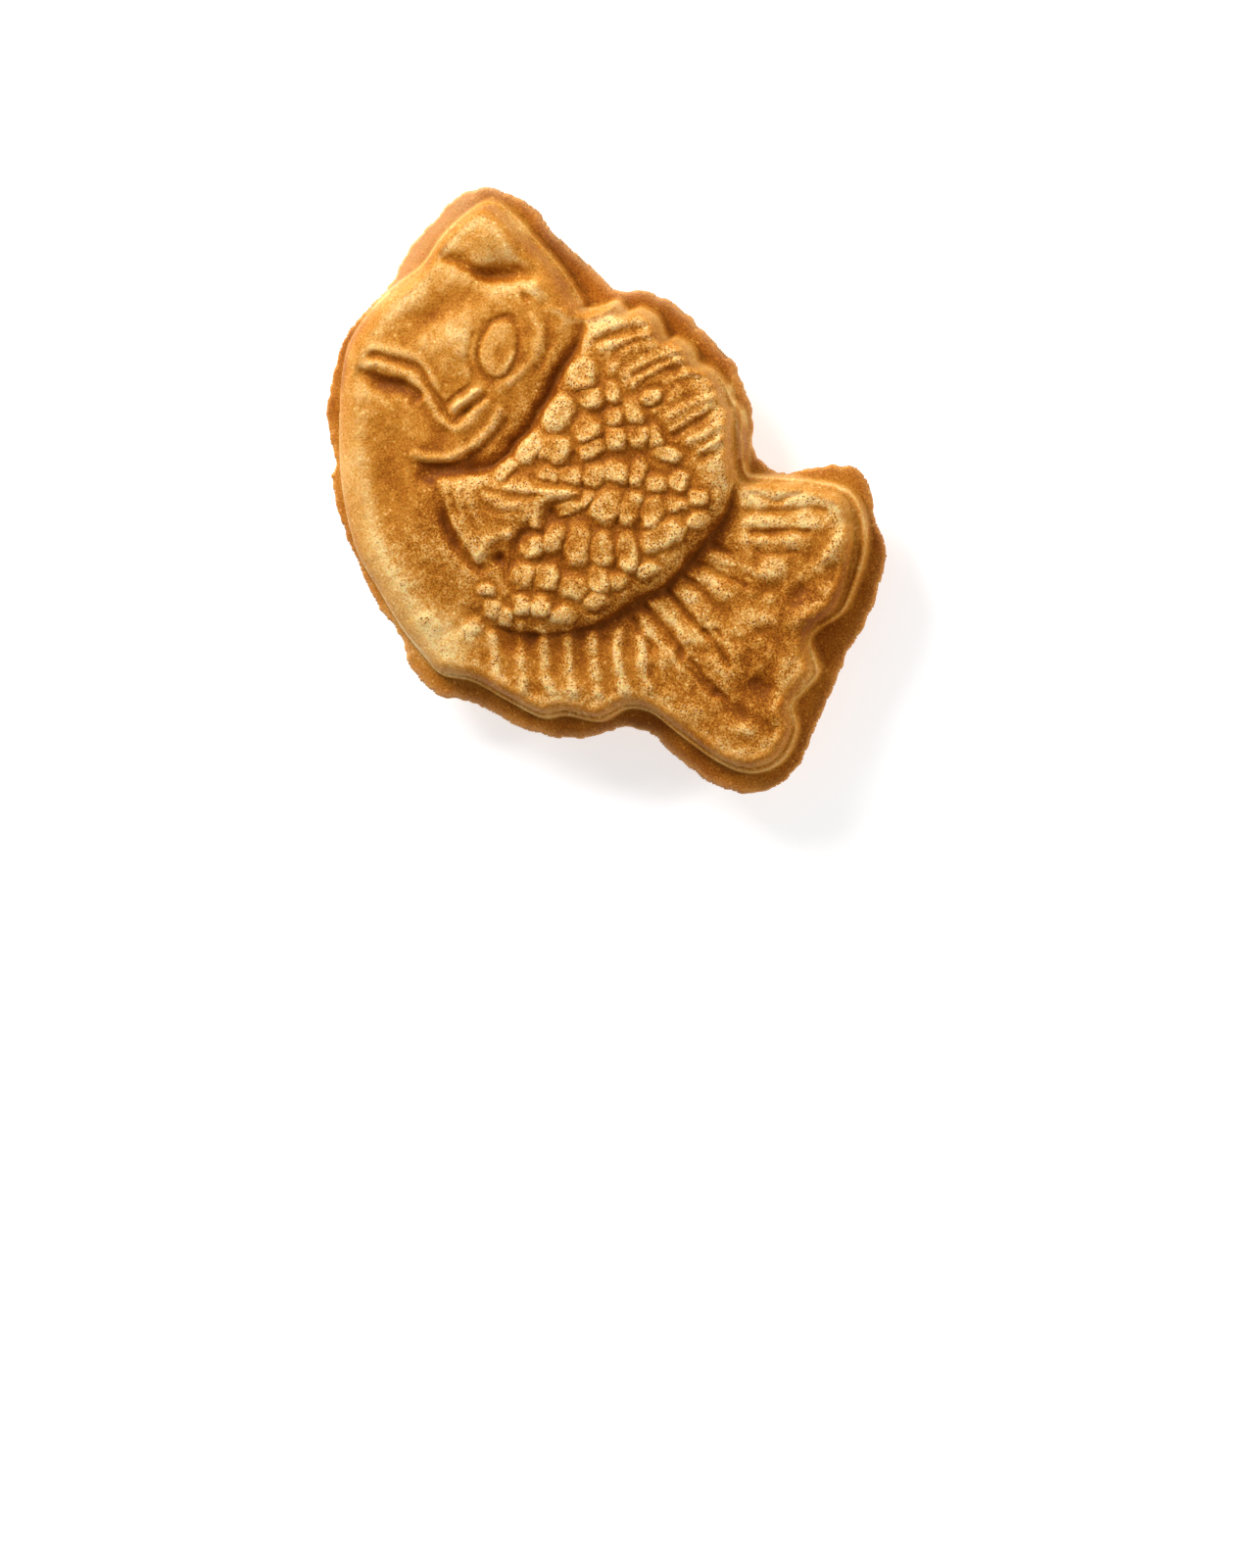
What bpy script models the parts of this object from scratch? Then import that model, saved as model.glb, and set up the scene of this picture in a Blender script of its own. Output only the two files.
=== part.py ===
"""A fish-shaped filled cake, baked shut between two iron moulds that press the same relief on both faces.

The cake lies on its back: +Z is the face that shows, +X runs from the head to the tail and +Y to the
back fin. Its origin is under the middle of its box, on the surface that it lies on.

The relief is drawn as one eye sees it. A drawn place is a pixel of a picture 1280 wide and 1600 high, and
the sight line through it meets the cake at the height of what is drawn there. Plans are ruled in sixths of a
millimetre, x to the picture's right and y down it, and heights are millimetres above the seam.
"""

import math
from typing import NamedTuple

import bmesh
import bpy
import numpy as np

NAME = "taiyaki"
MM = 0.001
CRUST_COLOUR = (0.52, 0.23, 0.045, 1)

# The plan's unit, its middle, and the turn that lays the fish along X
UNITS_PER_MM = 6
PLAN_UNIT = MM / UNITS_PER_MM
PLAN_MIDDLE = np.array([620.0, 500.0])
FISH_TURN = math.radians(41)

# The eye over the plan, what it looks straight at, and the middle of what it sees
EYE_PLACE = np.array([1620.0, 170.0, 6000.0])
EYE_AIM = np.array([640.0, 800.0, 0.0])
PICTURE_MIDDLE = np.array([640.0, 800.0])

# Heights above the seam, in millimetres
RIM_HEIGHT = 0.7
LEDGE_HEIGHT = 3.6
TAIL_HEIGHT = 6.3
FIN_HEIGHT = 7.6
TRUNK_HEIGHT = 9.9
REST_HEIGHT = 9.8

# The trunk is domed: the dome's middle, and how far it has fallen at its radius
DOME_MIDDLE, DOME_RADIUS, DOME_FALL = (575, 440), 230.0, 1.4
DOME_END = 1.2

# The back fin slopes down from its root line, behind the gill cover
FIN_ROOT, FIN_DIRECTION, FIN_REACH = (640, 375), (0.72, -0.69), 60.0
FIN_START, FIN_START_BLEND = 590.0, 30.0

# Widths in plan, in its own units
RIM_ROUNDING = 4.0
WALL_WIDTH = 4.5
TRUNK_ROUNDING = 27.0
BELLY_ROUNDING = 110.0
BELLY_START, BELLY_BLEND = 550.0, 80.0

# The ragged rim: how far it strays, in how many waves round the cake, and which draw
RAGGED = 1.6
RAGGED_TURNS = (23, 41, 67)
RAGGED_DRAW = 7

# The mesh
CELL = 3.6
FACES_WANTED = 11400
SNAP = 0.55 * CELL
SLIVER = 0.05 * CELL
MERGE = 0.01 * MM

# The thin rim of batter that squeezed out along the seam
RIM = (
    (465, 201), (492, 190), (522, 199), (545, 213), (570, 243), (600, 268), (628, 293), (660, 297),
    (690, 311), (716, 339), (745, 366), (757, 390), (768, 428), (768, 456), (786, 478), (808, 483),
    (838, 477), (873, 479), (888, 503), (892, 532), (904, 560), (897, 600), (880, 640), (860, 676),
    (846, 710), (833, 745), (812, 786), (780, 808), (740, 806), (700, 780), (664, 750), (632, 744),
    (600, 754), (560, 752), (520, 738), (484, 718), (450, 711), (422, 689), (404, 646), (381, 612),
    (362, 570), (347, 528), (336, 488), (341, 474), (333, 436), (332, 420), (341, 375), (350, 346),
    (380, 311), (402, 284), (415, 256), (437, 231),
)
# The outer edge of the ledge, where the wall rises from the rim: x, y, the ledge's width there, and how far
# the shoulder inside it takes to rise
LEDGE = (
    (500, 206, 2, 9), (522, 219, 2, 12), (548, 247, 2.5, 18), (574, 277, 2.5, 22), (591, 304, 2, 20),
    (597, 315, 1, 10), (614, 313, 2, 7), (630, 308, 1, 6), (641, 318, 1, 6), (655, 315, 1, 6),
    (671, 324, 1, 6), (680, 345, 1, 6), (692, 345, 1, 6), (706, 356, 1, 6), (712, 370, 1, 6),
    (728, 378, 1, 6), (740, 394, 2, 6), (746, 408, 4, 6), (755, 420, 6, 6), (757, 452, 8, 6),
    (761, 482, 8, 8), (780, 487, 4, 9), (825, 491, 3, 9), (862, 500, 5, 10), (879, 522, 10, 9),
    (882, 564, 12, 9), (862, 620, 8, 10), (834, 642, 4, 10), (826, 656, 2, 10), (834, 685, 4, 12),
    (820, 704, 2, 12), (808, 720, 2, 10), (812, 746, 4, 10), (797, 776, 5, 12), (768, 788, 5, 12),
    (735, 778, 4, 12), (695, 750, 4, 12), (666, 727, 3, 12), (640, 722, 3, 12), (612, 735, 4, 12),
    (578, 729, 4, 12), (552, 731, 4, 12), (516, 713, 4, 13), (482, 694, 3, 14), (450, 687, 2, 16),
    (432, 668, 1, 18), (410, 640, 0, 22), (386, 600, 0, 26), (364, 560, 0, 27), (350, 500, 0, 27),
    (347, 440, 0, 26), (350, 380, 0, 24), (361, 342, 1, 20), (394, 301, 2, 16), (430, 272, 2, 12),
    (452, 241, 2, 9), (478, 217, 2, 8),
)
# The lower end of the trunk, which stands above the tail and the belly fin
TRUNK_END = (
    (790, 455), (752, 480), (738, 524), (720, 548), (702, 570), (676, 598), (646, 613), (615, 634),
    (580, 645), (540, 648), (500, 640), (478, 622), (456, 616), (430, 620), (395, 640), (350, 680),
)
TRUNK_REST = ((200, 700), (200, 100), (900, 100), (900, 430))
# The side fin, a leaf that lies on the trunk
SIDE_FIN = (
    (442, 489), (470, 486), (500, 487), (530, 492), (560, 495), (590, 500), (584, 510), (562, 516),
    (556, 530), (552, 541), (538, 538), (526, 549), (512, 552), (498, 566), (488, 580), (472, 566),
    (458, 542), (449, 518),
)
SIDE_FIN_RISE = 0.7
SIDE_FIN_ROUNDING = 12.0


class Press(NamedTuple):
    """Lines cut alike into the mould: how high (or how deep) and how wide to their left and right."""

    rise: float
    left: float
    right: float
    lines: tuple


HEAD_PRESSES = (
    # The brow, the fold under it, and the edge of the gill cover
    Press(0.8, 26, 22, (((466, 246), (500, 238), (532, 250)),)),
    Press(-0.8, 8, 5, (((442, 262), (466, 268), (488, 279), (508, 282), (530, 279), (554, 284)),)),
    Press(-1.5, 20, 6, (((478, 275), (494, 281), (512, 282), (532, 280), (546, 283)),)),
    Press(-0.8, 5, 9, (((594, 318), (590, 345), (572, 378), (553, 412), (528, 448), (500, 474),
                         (470, 481), (440, 483)),)),
    Press(-0.95, 8, 36, (((596, 322), (590, 345), (572, 378), (553, 412), (528, 448), (500, 474),
                         (472, 480)),)),
    # The hollow that runs down from the fold to the cheek
    Press(-0.7, 14, 13, (((497, 294), (476, 303), (454, 312), (437, 322), (418, 336)),)),
    # The mouth, and the hollow under the lower lip
    Press(-0.75, 4, 4, (((375, 362), (394, 365), (411, 370), (425, 377), (437, 391), (448, 410), (456, 424),
                         (463, 430), (470, 424), (478, 414)),)),
    Press(-1.0, 6, 12, (((360, 377), (384, 388), (402, 392), (420, 397), (432, 410)),)),
    Press(-0.5, 6, 13, (((424, 398), (436, 416), (447, 436), (462, 446)),)),
    # The lips, the lid under the eye and the inner edge of the gill cover
    Press(0.55, 4, 4, (
        ((371, 355), (392, 357), (410, 359), (426, 367), (437, 382), (448, 402)),
        ((372, 371), (392, 374), (406, 379), (420, 386), (433, 404), (445, 426), (459, 436), (472, 434),
         (484, 421), (498, 408)),
        ((490, 395), (476, 407), (461, 419)),
        ((542, 318), (549, 334), (550, 350), (544, 366), (531, 381), (516, 393), (506, 401)),
    )),
    Press(0.7, 5, 6, (((416, 459), (437, 466), (462, 465), (484, 453), (503, 432), (513, 414)),)),
    Press(-0.6, 4, 4, (
        ((422, 473), (452, 476), (482, 464), (502, 446), (517, 424)),
    )),
    # The groove along the belly
    Press(-0.8, 18, 20, (((381, 420), (387, 455), (392, 490), (398, 525), (409, 556), (425, 584),
                          (445, 606), (467, 620)),)),
)
SIDE_FIN_PRESSES = (
    Press(-0.4, 4, 4, (
        ((486, 491), (503, 501), (526, 505), (552, 506)), ((486, 500), (494, 514), (512, 522), (532, 520)),
        ((458, 500), (466, 526), (478, 548)),
    )),
    Press(-0.8, 7, 6, (((448, 518), (456, 542), (468, 562), (482, 578), (496, 588)),)),
    Press(-0.9, 7, 7, (((502, 576), (514, 564)), ((528, 556), (538, 548)), ((559, 528), (570, 519)))),
    Press(0.5, 7, 5, (((484, 486), (506, 490), (530, 496), (560, 499), (588, 503)),)),
    Press(0.4, 5, 5, (((494, 506), (510, 514), (534, 516)),)),
)
BACK_FIN_PRESSES = (
    # The valleys between the ribs
    Press(-0.55, 4, 4, (
        ((606, 331), (620, 324), (640, 320)), ((606, 350), (632, 339), (656, 334), (672, 325)),
        ((628, 360), (650, 350), (682, 344)), ((633, 371), (652, 364), (676, 352), (698, 350)),
        ((646, 382), (668, 372), (690, 365), (712, 361)), ((650, 396), (664, 386), (692, 374), (724, 374)),
        ((662, 402), (684, 392), (702, 386), (736, 386)), ((668, 416), (690, 408), (716, 396), (742, 398)),
        ((684, 445), (706, 432), (728, 418), (746, 414)),
    )),
    # The ribs
    Press(0.5, 4, 4, (
        ((602, 322), (617, 315), (636, 311)), ((603, 342), (625, 332), (648, 328), (673, 327)),
        ((612, 356), (628, 351), (650, 344), (676, 337)), ((630, 360), (654, 352), (684, 346)),
        ((622, 378), (636, 370), (654, 363), (676, 352), (692, 351)),
        ((638, 384), (651, 376), (674, 364), (697, 359), (709, 358)),
        ((644, 393), (660, 385), (678, 373), (696, 367), (717, 368)),
        ((655, 408), (672, 399), (692, 387), (712, 378), (728, 382)),
        ((666, 419), (684, 409), (698, 403), (716, 396), (735, 390)),
        ((674, 431), (688, 422), (704, 413), (724, 405), (744, 406)),
        ((684, 440), (706, 426), (726, 412)),
    )),
    # The lumps that the ribs end in
    Press(0.6, 7, 7, (((630, 313), (636, 318)), ((664, 325), (674, 335)), ((692, 350), (702, 358)),
                      ((714, 370), (723, 377)), ((733, 388), (741, 402)), ((748, 420), (750, 436)))),
)
TAIL_PRESSES = (
    # The grooves between the tail's ribs
    Press(-0.5, 4, 4, (
        ((762, 503), (776, 508), (790, 512), (805, 509), (822, 502)),
        ((760, 519), (782, 521), (806, 522), (834, 519), (846, 522)),
        ((763, 543), (790, 542), (812, 541), (828, 542)), ((769, 561), (784, 565), (800, 565), (815, 563)),
        ((707, 574), (724, 581), (740, 589), (763, 599)), ((695, 588), (710, 598), (722, 608), (736, 622)),
        ((677, 598), (690, 612), (704, 629), (724, 652)), ((657, 616), (672, 634), (684, 649), (699, 671)),
        ((644, 630), (656, 648), (668, 665)), ((688, 663), (708, 688), (731, 711)),
        ((702, 670), (722, 694), (742, 715)), ((716, 640), (732, 660), (746, 684)),
    )),
    # Its hollows
    Press(-0.9, 10, 10, (
        ((838, 552), (828, 570), (812, 584)), ((858, 566), (846, 590), (822, 604), (800, 612)),
        ((818, 654), (810, 648)), ((764, 690), (776, 702), (792, 708)), ((748, 722), (766, 728)),
    )),
    # Its ribs
    Press(0.4, 5, 5, (
        ((803, 513), (824, 508), (842, 508), (855, 515), (857, 526)),
        ((852, 529), (836, 535), (806, 534), (778, 531), (752, 534)),
        ((748, 551), (768, 551), (790, 552), (812, 552)), ((718, 566), (740, 572), (762, 580), (780, 590)),
        ((700, 583), (722, 595), (746, 610)), ((686, 596), (702, 612), (720, 634)),
        ((666, 610), (684, 632), (704, 658)), ((650, 624), (668, 648), (690, 678)),
    )),
    # Its lumps
    Press(0.75, 10, 10, (
        ((862, 540), (852, 560), (836, 576)), ((806, 574), (790, 582), (772, 584)),
        ((834, 612), (820, 628), (800, 634)), ((770, 622), (784, 640)), ((790, 668), (806, 684)),
        ((800, 712), (800, 730)), ((750, 742), (774, 752)), ((730, 676), (748, 690)),
    )),
)
BELLY_LUMPS = Press(0.7, 12, 12, (((428, 640), (452, 632)), ((470, 655), (490, 640))))
BELLY_FIN_TOP, BELLY_FIN_FOOT = 640, 712
BELLY_FIN_LEAN = 6
BELLY_FIN_RIBS = range(505, 660, 25)
BELLY_FIN_PRESS = Press(0.6, 6, 6, tuple(
    ((x, BELLY_FIN_TOP), (x + BELLY_FIN_LEAN, BELLY_FIN_FOOT))
    for x in BELLY_FIN_RIBS
))

# A line fades over its own width from this share at its ends
LINE_END = 0.3
# And it is felt this many times its width away
REACH = 3

# The eye is a ball in a ring-shaped groove
EYE_MIDDLE = (508, 355)
EYE_HALF_WIDTH, EYE_HALF_LENGTH = 19.0, 32.0
EYE_LEAN = math.radians(15)
EYE_RISE, EYE_GROOVE, EYE_GROOVE_WIDTH = 0.45, 0.6, 0.18

# Soft swellings: middle, radius and rise
CHEEK = ((455, 348), 36, 0.9)
TEMPLE = ((415, 300), 24, 0.5)
NOSTRIL = ((546, 292), 8, 0.6)
NOSTRIL_PIT = ((536, 303), 5, -0.5)
GILL_PIT = ((434, 484), 9, -0.9)

# The scales: x, y, half width, half length and lean in degrees of each
SCALES = (
    # The rows under the gill cover, from the back fin down
    (593, 381, 14, 13, -25), (602, 405, 12, 9, 10), (625, 400, 6, 9, -15), (571, 421, 12, 18, 35),
    (626, 424, 9, 7, 0), (647, 420, 8, 11, -25), (664, 405, 5, 9, 60), (598, 437, 11, 12, 40),
    (629, 446, 9, 10, 10), (651, 445, 9, 9, 0), (669, 445, 6, 10, -10), (540, 458, 9, 14, 42),
    (566, 457, 14, 12, 10), (604, 458, 12, 6, -25), (680, 463, 12, 6, 10), (515, 478, 5, 10, 45),
    # The rows across the middle
    (628, 481, 11, 11, 15), (651, 481, 8, 12, 12), (607, 485, 8, 10, 30), (582, 485, 11, 7, 0),
    (559, 484, 10, 6, 0), (670, 493, 9, 8, 10), (693, 491, 8, 9, 15), (619, 515, 13, 18, 25),
    (643, 517, 9, 17, 12), (665, 523, 9, 15, 5), (688, 515, 12, 5, 5), (577, 520, 13, 5, -25),
    (711, 508, 8, 6, 10), (712, 532, 9, 6, -20),
    # The rows down to the tail and the belly fin
    (542, 557, 11, 9, 0), (565, 550, 9, 14, 20), (589, 556, 10, 20, 10), (614, 560, 10, 16, 0),
    (640, 563, 9, 19, -5), (675, 547, 21, 10, -30), (533, 587, 10, 11, 10), (557, 589, 11, 12, 0),
    (584, 599, 13, 11, 10), (610, 593, 9, 12, -10), (630, 593, 8, 6, -10), (659, 582, 10, 6, -25),
    (550, 619, 9, 9, 0), (572, 628, 11, 8, -5), (532, 617, 8, 8, 0), (501, 622, 7, 8, 0),
    (514, 631, 6, 9, 0), (607, 613, 10, 7, -20), (480, 640, 8, 7, 0), (495, 602, 7, 5, 0),
)
SCALE_RISE, SCALE_BED = 0.9, 0.3
SCALE_FLAT, SCALE_FOOT, SCALE_SQUARENESS = 0.72, 1.42, 2.5
BED_START, BED_END = 1.4, 2.3


def curve_through(points, closed=False, steps=6):
    """Points along the smooth curve through the given ones."""
    knots = np.array(points, float)
    if closed:
        before, start = np.roll(knots, 1, axis=0), knots
        after, far = np.roll(knots, -1, axis=0), np.roll(knots, -2, axis=0)
    else:
        knots = np.vstack([2 * knots[0] - knots[1], knots, 2 * knots[-1] - knots[-2]])
        before, start, after, far = knots[:-3], knots[1:-2], knots[2:-1], knots[3:]
    t = (np.arange(steps) / steps)[:, None, None]
    curve = start + 0.5 * (
        (after - before) * t
        + (2 * before - 5 * start + 4 * after - far) * t**2
        + (3 * start - before - 3 * after + far) * t**3
    )
    curve = curve.transpose(1, 0, 2).reshape(-1, 2)
    return np.vstack([curve, curve[:1] if closed else after[-1:]])


def in_plan(seen, height):
    """The place in plan of what is seen at a pixel, given its height in millimetres above the seam."""
    reach = np.linalg.norm(EYE_AIM - EYE_PLACE)
    ahead = (EYE_AIM - EYE_PLACE) / reach
    down = np.array([0, 1, 0]) - ahead[1] * ahead
    down /= np.linalg.norm(down)
    right = np.array([1, 0, 0]) - ahead[0] * ahead - down[0] * down
    right /= np.linalg.norm(right)
    off = np.asarray(seen, float) - PICTURE_MIDDLE
    ray = ahead * reach + off[..., :1] * right + off[..., 1:] * down
    share = (height * UNITS_PER_MM - EYE_PLACE[2]) / ray[..., 2:]
    return EYE_PLACE[:2] + ray[..., :2] * share


def nearest_on(path, points):
    """The nearest place on a path to each point: its distance, how far along it lies, the
    place itself, and 1 or -1 for the path's right or left hand."""
    step = np.diff(path, axis=0)
    length = np.hypot(*step.T)
    from_start = points[:, None, :] - path[None, :-1, :]
    share = np.clip((from_start * step).sum(axis=2) / np.maximum(length**2, 1e-9), 0, 1)
    apart = np.hypot(*(from_start - share[..., None] * step).transpose(2, 0, 1))
    near = apart.argmin(axis=1)
    row = np.arange(len(points))
    place = path[near] + share[row, near, None] * step[near]
    along = (np.cumsum(length) - length)[near] + share[row, near] * length[near]
    cross = step[near, 0] * from_start[row, near, 1] - step[near, 1] * from_start[row, near, 0]
    return apart[row, near], along, place, np.where(cross > 0, 1, -1)


def depth_inside(outline, points):
    """How far each point lies inside a closed outline, below 0 outside it."""
    start, end = outline[:-1], outline[1:]
    x, y = points[:, :1], points[:, 1:]
    spans = (start[:, 1] > y) != (end[:, 1] > y)
    rise = np.where(start[:, 1] == end[:, 1], 1, end[:, 1] - start[:, 1])
    crossing = start[:, 0] + (y - start[:, 1]) * (end[:, 0] - start[:, 0]) / rise
    inside = (spans & (x < crossing)).sum(axis=1) % 2 == 1
    apart = nearest_on(outline, points)[0]
    return np.where(inside, apart, -apart)


def ramp(value):
    """0 below 0 and 1 above 1, with soft ends."""
    value = np.clip(value, 0, 1)
    return value * value * (3 - 2 * value)


def shoulder(value):
    """A quarter round: 0 below 0, steep at first, and level from 1 on."""
    value = np.clip(value, 0, 1)
    return np.sqrt(1 - (1 - value) ** 2)


def swelling(points, middle, radius, rise):
    return rise * np.exp(-(((points - middle) ** 2).sum(axis=1)) / radius**2)


def pressed(press, height, points):
    """What one press adds at each point, its lines standing at the given height."""
    total = np.zeros(len(points))
    reach = REACH * max(press.left, press.right)
    for line in press.lines:
        path = curve_through(in_plan(line, height))
        near = ((points > path.min(axis=0) - reach) & (points < path.max(axis=0) + reach)).all(axis=1)
        apart, along, _, hand = nearest_on(path, points[near])
        length = np.hypot(*np.diff(path, axis=0).T).sum()
        from_ends = np.minimum(along, length - along)
        fade = ramp(LINE_END + from_ends / (2 * press.left))
        width = np.where(hand > 0, press.right, press.left)
        total[near] += press.rise * fade * np.exp(-((apart / width) ** 2))
    return total


def scales(points):
    """What the scales add, each a rounded pad, and the bed that they lie on."""
    cover, bed = np.zeros(len(points)), np.zeros(len(points))
    for x, y, half_width, half_length, lean in SCALES:
        lean = math.radians(lean)
        off = points - in_plan((x, y), TRUNK_HEIGHT)
        across = off[:, 0] * math.cos(lean) + off[:, 1] * math.sin(lean)
        down = off[:, 1] * math.cos(lean) - off[:, 0] * math.sin(lean)
        size = np.abs(across / half_width) ** SCALE_SQUARENESS + np.abs(down / half_length) ** SCALE_SQUARENESS
        size = size ** (1 / SCALE_SQUARENESS)
        cover = np.maximum(cover, ramp((SCALE_FOOT - size) / (SCALE_FOOT - SCALE_FLAT)))
        bed = np.maximum(bed, ramp((BED_END - size) / (BED_END - BED_START)))
    return SCALE_RISE * cover - SCALE_BED * bed


def eye(points):
    off = points - in_plan(EYE_MIDDLE, TRUNK_HEIGHT)
    across = off[:, 0] * math.cos(EYE_LEAN) + off[:, 1] * math.sin(EYE_LEAN)
    down = off[:, 1] * math.cos(EYE_LEAN) - off[:, 0] * math.sin(EYE_LEAN)
    size = np.hypot(across / EYE_HALF_WIDTH, down / EYE_HALF_LENGTH)
    ball = EYE_RISE * np.sqrt(np.clip(1 - size**2, 0, 1))
    return ball - EYE_GROOVE * np.exp(-(((size - 1) / EYE_GROOVE_WIDTH) ** 2))


def trunk_height(points):
    """The trunk's plain height: a low dome that falls away toward the back fin."""
    from_middle = np.hypot(*(points - in_plan(DOME_MIDDLE, TRUNK_HEIGHT)).T)
    dome = TRUNK_HEIGHT - DOME_FALL * np.minimum(from_middle / DOME_RADIUS, DOME_END) ** 2
    toward_fin = ramp(((points - in_plan(FIN_ROOT, FIN_HEIGHT)) @ FIN_DIRECTION) / FIN_REACH)
    behind_gill = ramp((points[:, 0] - FIN_START) / FIN_START_BLEND)
    return dome - (TRUNK_HEIGHT - FIN_HEIGHT - DOME_FALL) * toward_fin * behind_gill


def crown(points):
    """The height of the face itself, inside its shoulders, in millimetres above the seam."""
    trunk_outline = np.vstack([curve_through(in_plan(TRUNK_END, TRUNK_HEIGHT)), TRUNK_REST])
    trunk_outline = np.vstack([trunk_outline, trunk_outline[:1]])
    depth = depth_inside(trunk_outline, points)
    at_belly = ramp((BELLY_START - points[:, 0]) / BELLY_BLEND)
    trunk = shoulder(depth / TRUNK_ROUNDING) * (1 - at_belly) + ramp(0.5 + depth / BELLY_ROUNDING) * at_belly
    height = TAIL_HEIGHT + (trunk_height(points) - TAIL_HEIGHT) * trunk + trunk * scales(points)
    fin = curve_through(in_plan(SIDE_FIN, TRUNK_HEIGHT), closed=True)
    height = height + SIDE_FIN_RISE * ramp(depth_inside(fin, points) / SIDE_FIN_ROUNDING)
    height = height + eye(points)
    for middle, radius, rise in (CHEEK, TEMPLE, NOSTRIL, NOSTRIL_PIT, GILL_PIT):
        height = height + swelling(points, in_plan(middle, TRUNK_HEIGHT), radius, rise)
    for presses, level in (
        (HEAD_PRESSES, TRUNK_HEIGHT),
        (SIDE_FIN_PRESSES, TRUNK_HEIGHT),
        (BACK_FIN_PRESSES, FIN_HEIGHT),
        (TAIL_PRESSES, TAIL_HEIGHT),
        ((BELLY_FIN_PRESS, BELLY_LUMPS), TAIL_HEIGHT),
    ):
        for press in presses:
            height = height + pressed(press, level, points)
    return height


def half_height(points, rim_outline):
    """Height above the seam at each point in plan, in millimetres: rim, wall, ledge, shoulder, face."""
    ledge = ledge_outline()
    to_rim = depth_inside(rim_outline, points)
    to_ledge = depth_inside(ledge, points)
    along = nearest_on(ledge, points)[1]
    lengths = np.hypot(*np.diff(ledge, axis=0).T)
    knots = (np.cumsum(lengths) - lengths)[::len(lengths) // len(LEDGE)]
    ledge_width, shoulder_width = (
        np.interp(along, knots, [place[column] for place in LEDGE], period=lengths.sum()) for column in (2, 3)
    )
    wall = ramp((to_ledge + WALL_WIDTH) / WALL_WIDTH)
    face = shoulder((to_ledge - ledge_width) / shoulder_width)
    height = RIM_HEIGHT + (LEDGE_HEIGHT - RIM_HEIGHT) * wall + (crown(points) - LEDGE_HEIGHT) * face
    return height * shoulder(to_rim / RIM_ROUNDING)


def ledge_outline():
    return curve_through(in_plan([place[:2] for place in LEDGE], LEDGE_HEIGHT), closed=True)


def ragged_rim():
    """The rim's outline in plan, with the uneven edge of batter that ran out and set."""
    outline = curve_through(in_plan(RIM, RIM_HEIGHT), closed=True)[:-1]
    along = np.arange(len(outline))
    step = np.roll(outline, -1, axis=0) - np.roll(outline, 1, axis=0)
    outward = np.stack([step[:, 1], -step[:, 0]], axis=1) / np.hypot(*step.T)[:, None]
    draws = np.random.default_rng(RAGGED_DRAW)
    uneven = sum(
        np.sin(2 * math.pi * along * turns / len(outline) + draws.uniform(0, 2 * math.pi))
        for turns in RAGGED_TURNS
    ) / len(RAGGED_TURNS)
    outline = outline + outward * (RAGGED * uneven)[:, None]
    return np.vstack([outline, outline[:1]])


def in_blocks(work, points, size=2000):
    """Work on many points, some at a time."""
    return np.concatenate([work(points[i:i + size]) for i in range(0, len(points), size)])


def drawn_onto(outline, places):
    """The places, with each that lies close to the outline moved onto it; and their depths inside it."""
    depths = in_blocks(lambda block: depth_inside(outline, block), places)
    on_outline = in_blocks(lambda block: nearest_on(outline, block)[2], places)
    return np.where(np.abs(depths)[:, None] < SNAP, on_outline, places), depths


def make_upper_half():
    """The upper half of the cake, open along the seam."""
    rim = ragged_rim()
    low, high = rim.min(axis=0) - CELL, rim.max(axis=0) + CELL
    columns, rows = np.ceil((high - low) / CELL).astype(int)
    mesh = bmesh.new()
    bmesh.ops.create_grid(mesh, x_segments=columns, y_segments=rows, size=0.5)
    bmesh.ops.scale(mesh, vec=(columns * CELL, rows * CELL, 1), verts=mesh.verts)
    places = np.array([vert.co[:2] for vert in mesh.verts]) + (low + high) / 2
    places, _ = drawn_onto(ledge_outline(), places)
    places, depths = drawn_onto(rim, places)
    for vert, place in zip(mesh.verts, places):
        vert.co.xy = place
    outside = [vert for vert, depth in zip(mesh.verts, depths) if depth < -SNAP]
    bmesh.ops.delete(mesh, geom=outside, context="VERTS")
    bmesh.ops.delete(mesh, geom=[vert for vert in mesh.verts if not vert.link_faces], context="VERTS")
    bmesh.ops.dissolve_degenerate(mesh, dist=SLIVER, edges=mesh.edges)
    bmesh.ops.triangulate(mesh, faces=mesh.faces)
    # An edge across a narrow tip would meet its mirror image, so each gets a point that stands off the seam
    across_tips = [
        edge for edge in mesh.edges
        if not edge.is_boundary and all(vert.is_boundary for vert in edge.verts)
    ]
    bmesh.ops.subdivide_edges(mesh, edges=across_tips, cuts=1)
    bmesh.ops.triangulate(mesh, faces=mesh.faces)
    places = np.array([vert.co[:2] for vert in mesh.verts])
    heights = in_blocks(lambda block: half_height(block, rim), places)
    off = (places - PLAN_MIDDLE) * PLAN_UNIT
    along = off[:, 0] * math.cos(FISH_TURN) + off[:, 1] * math.sin(FISH_TURN)
    across = off[:, 0] * math.sin(FISH_TURN) - off[:, 1] * math.cos(FISH_TURN)
    for vert, x, y, height in zip(mesh.verts, along, across, heights):
        vert.co = (x, y, 0 if vert.is_boundary else height * MM)
    bmesh.ops.recalc_face_normals(mesh, faces=mesh.faces)
    if sum(face.normal.z for face in mesh.faces) < 0:
        bmesh.ops.reverse_faces(mesh, faces=mesh.faces)
    return mesh


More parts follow.
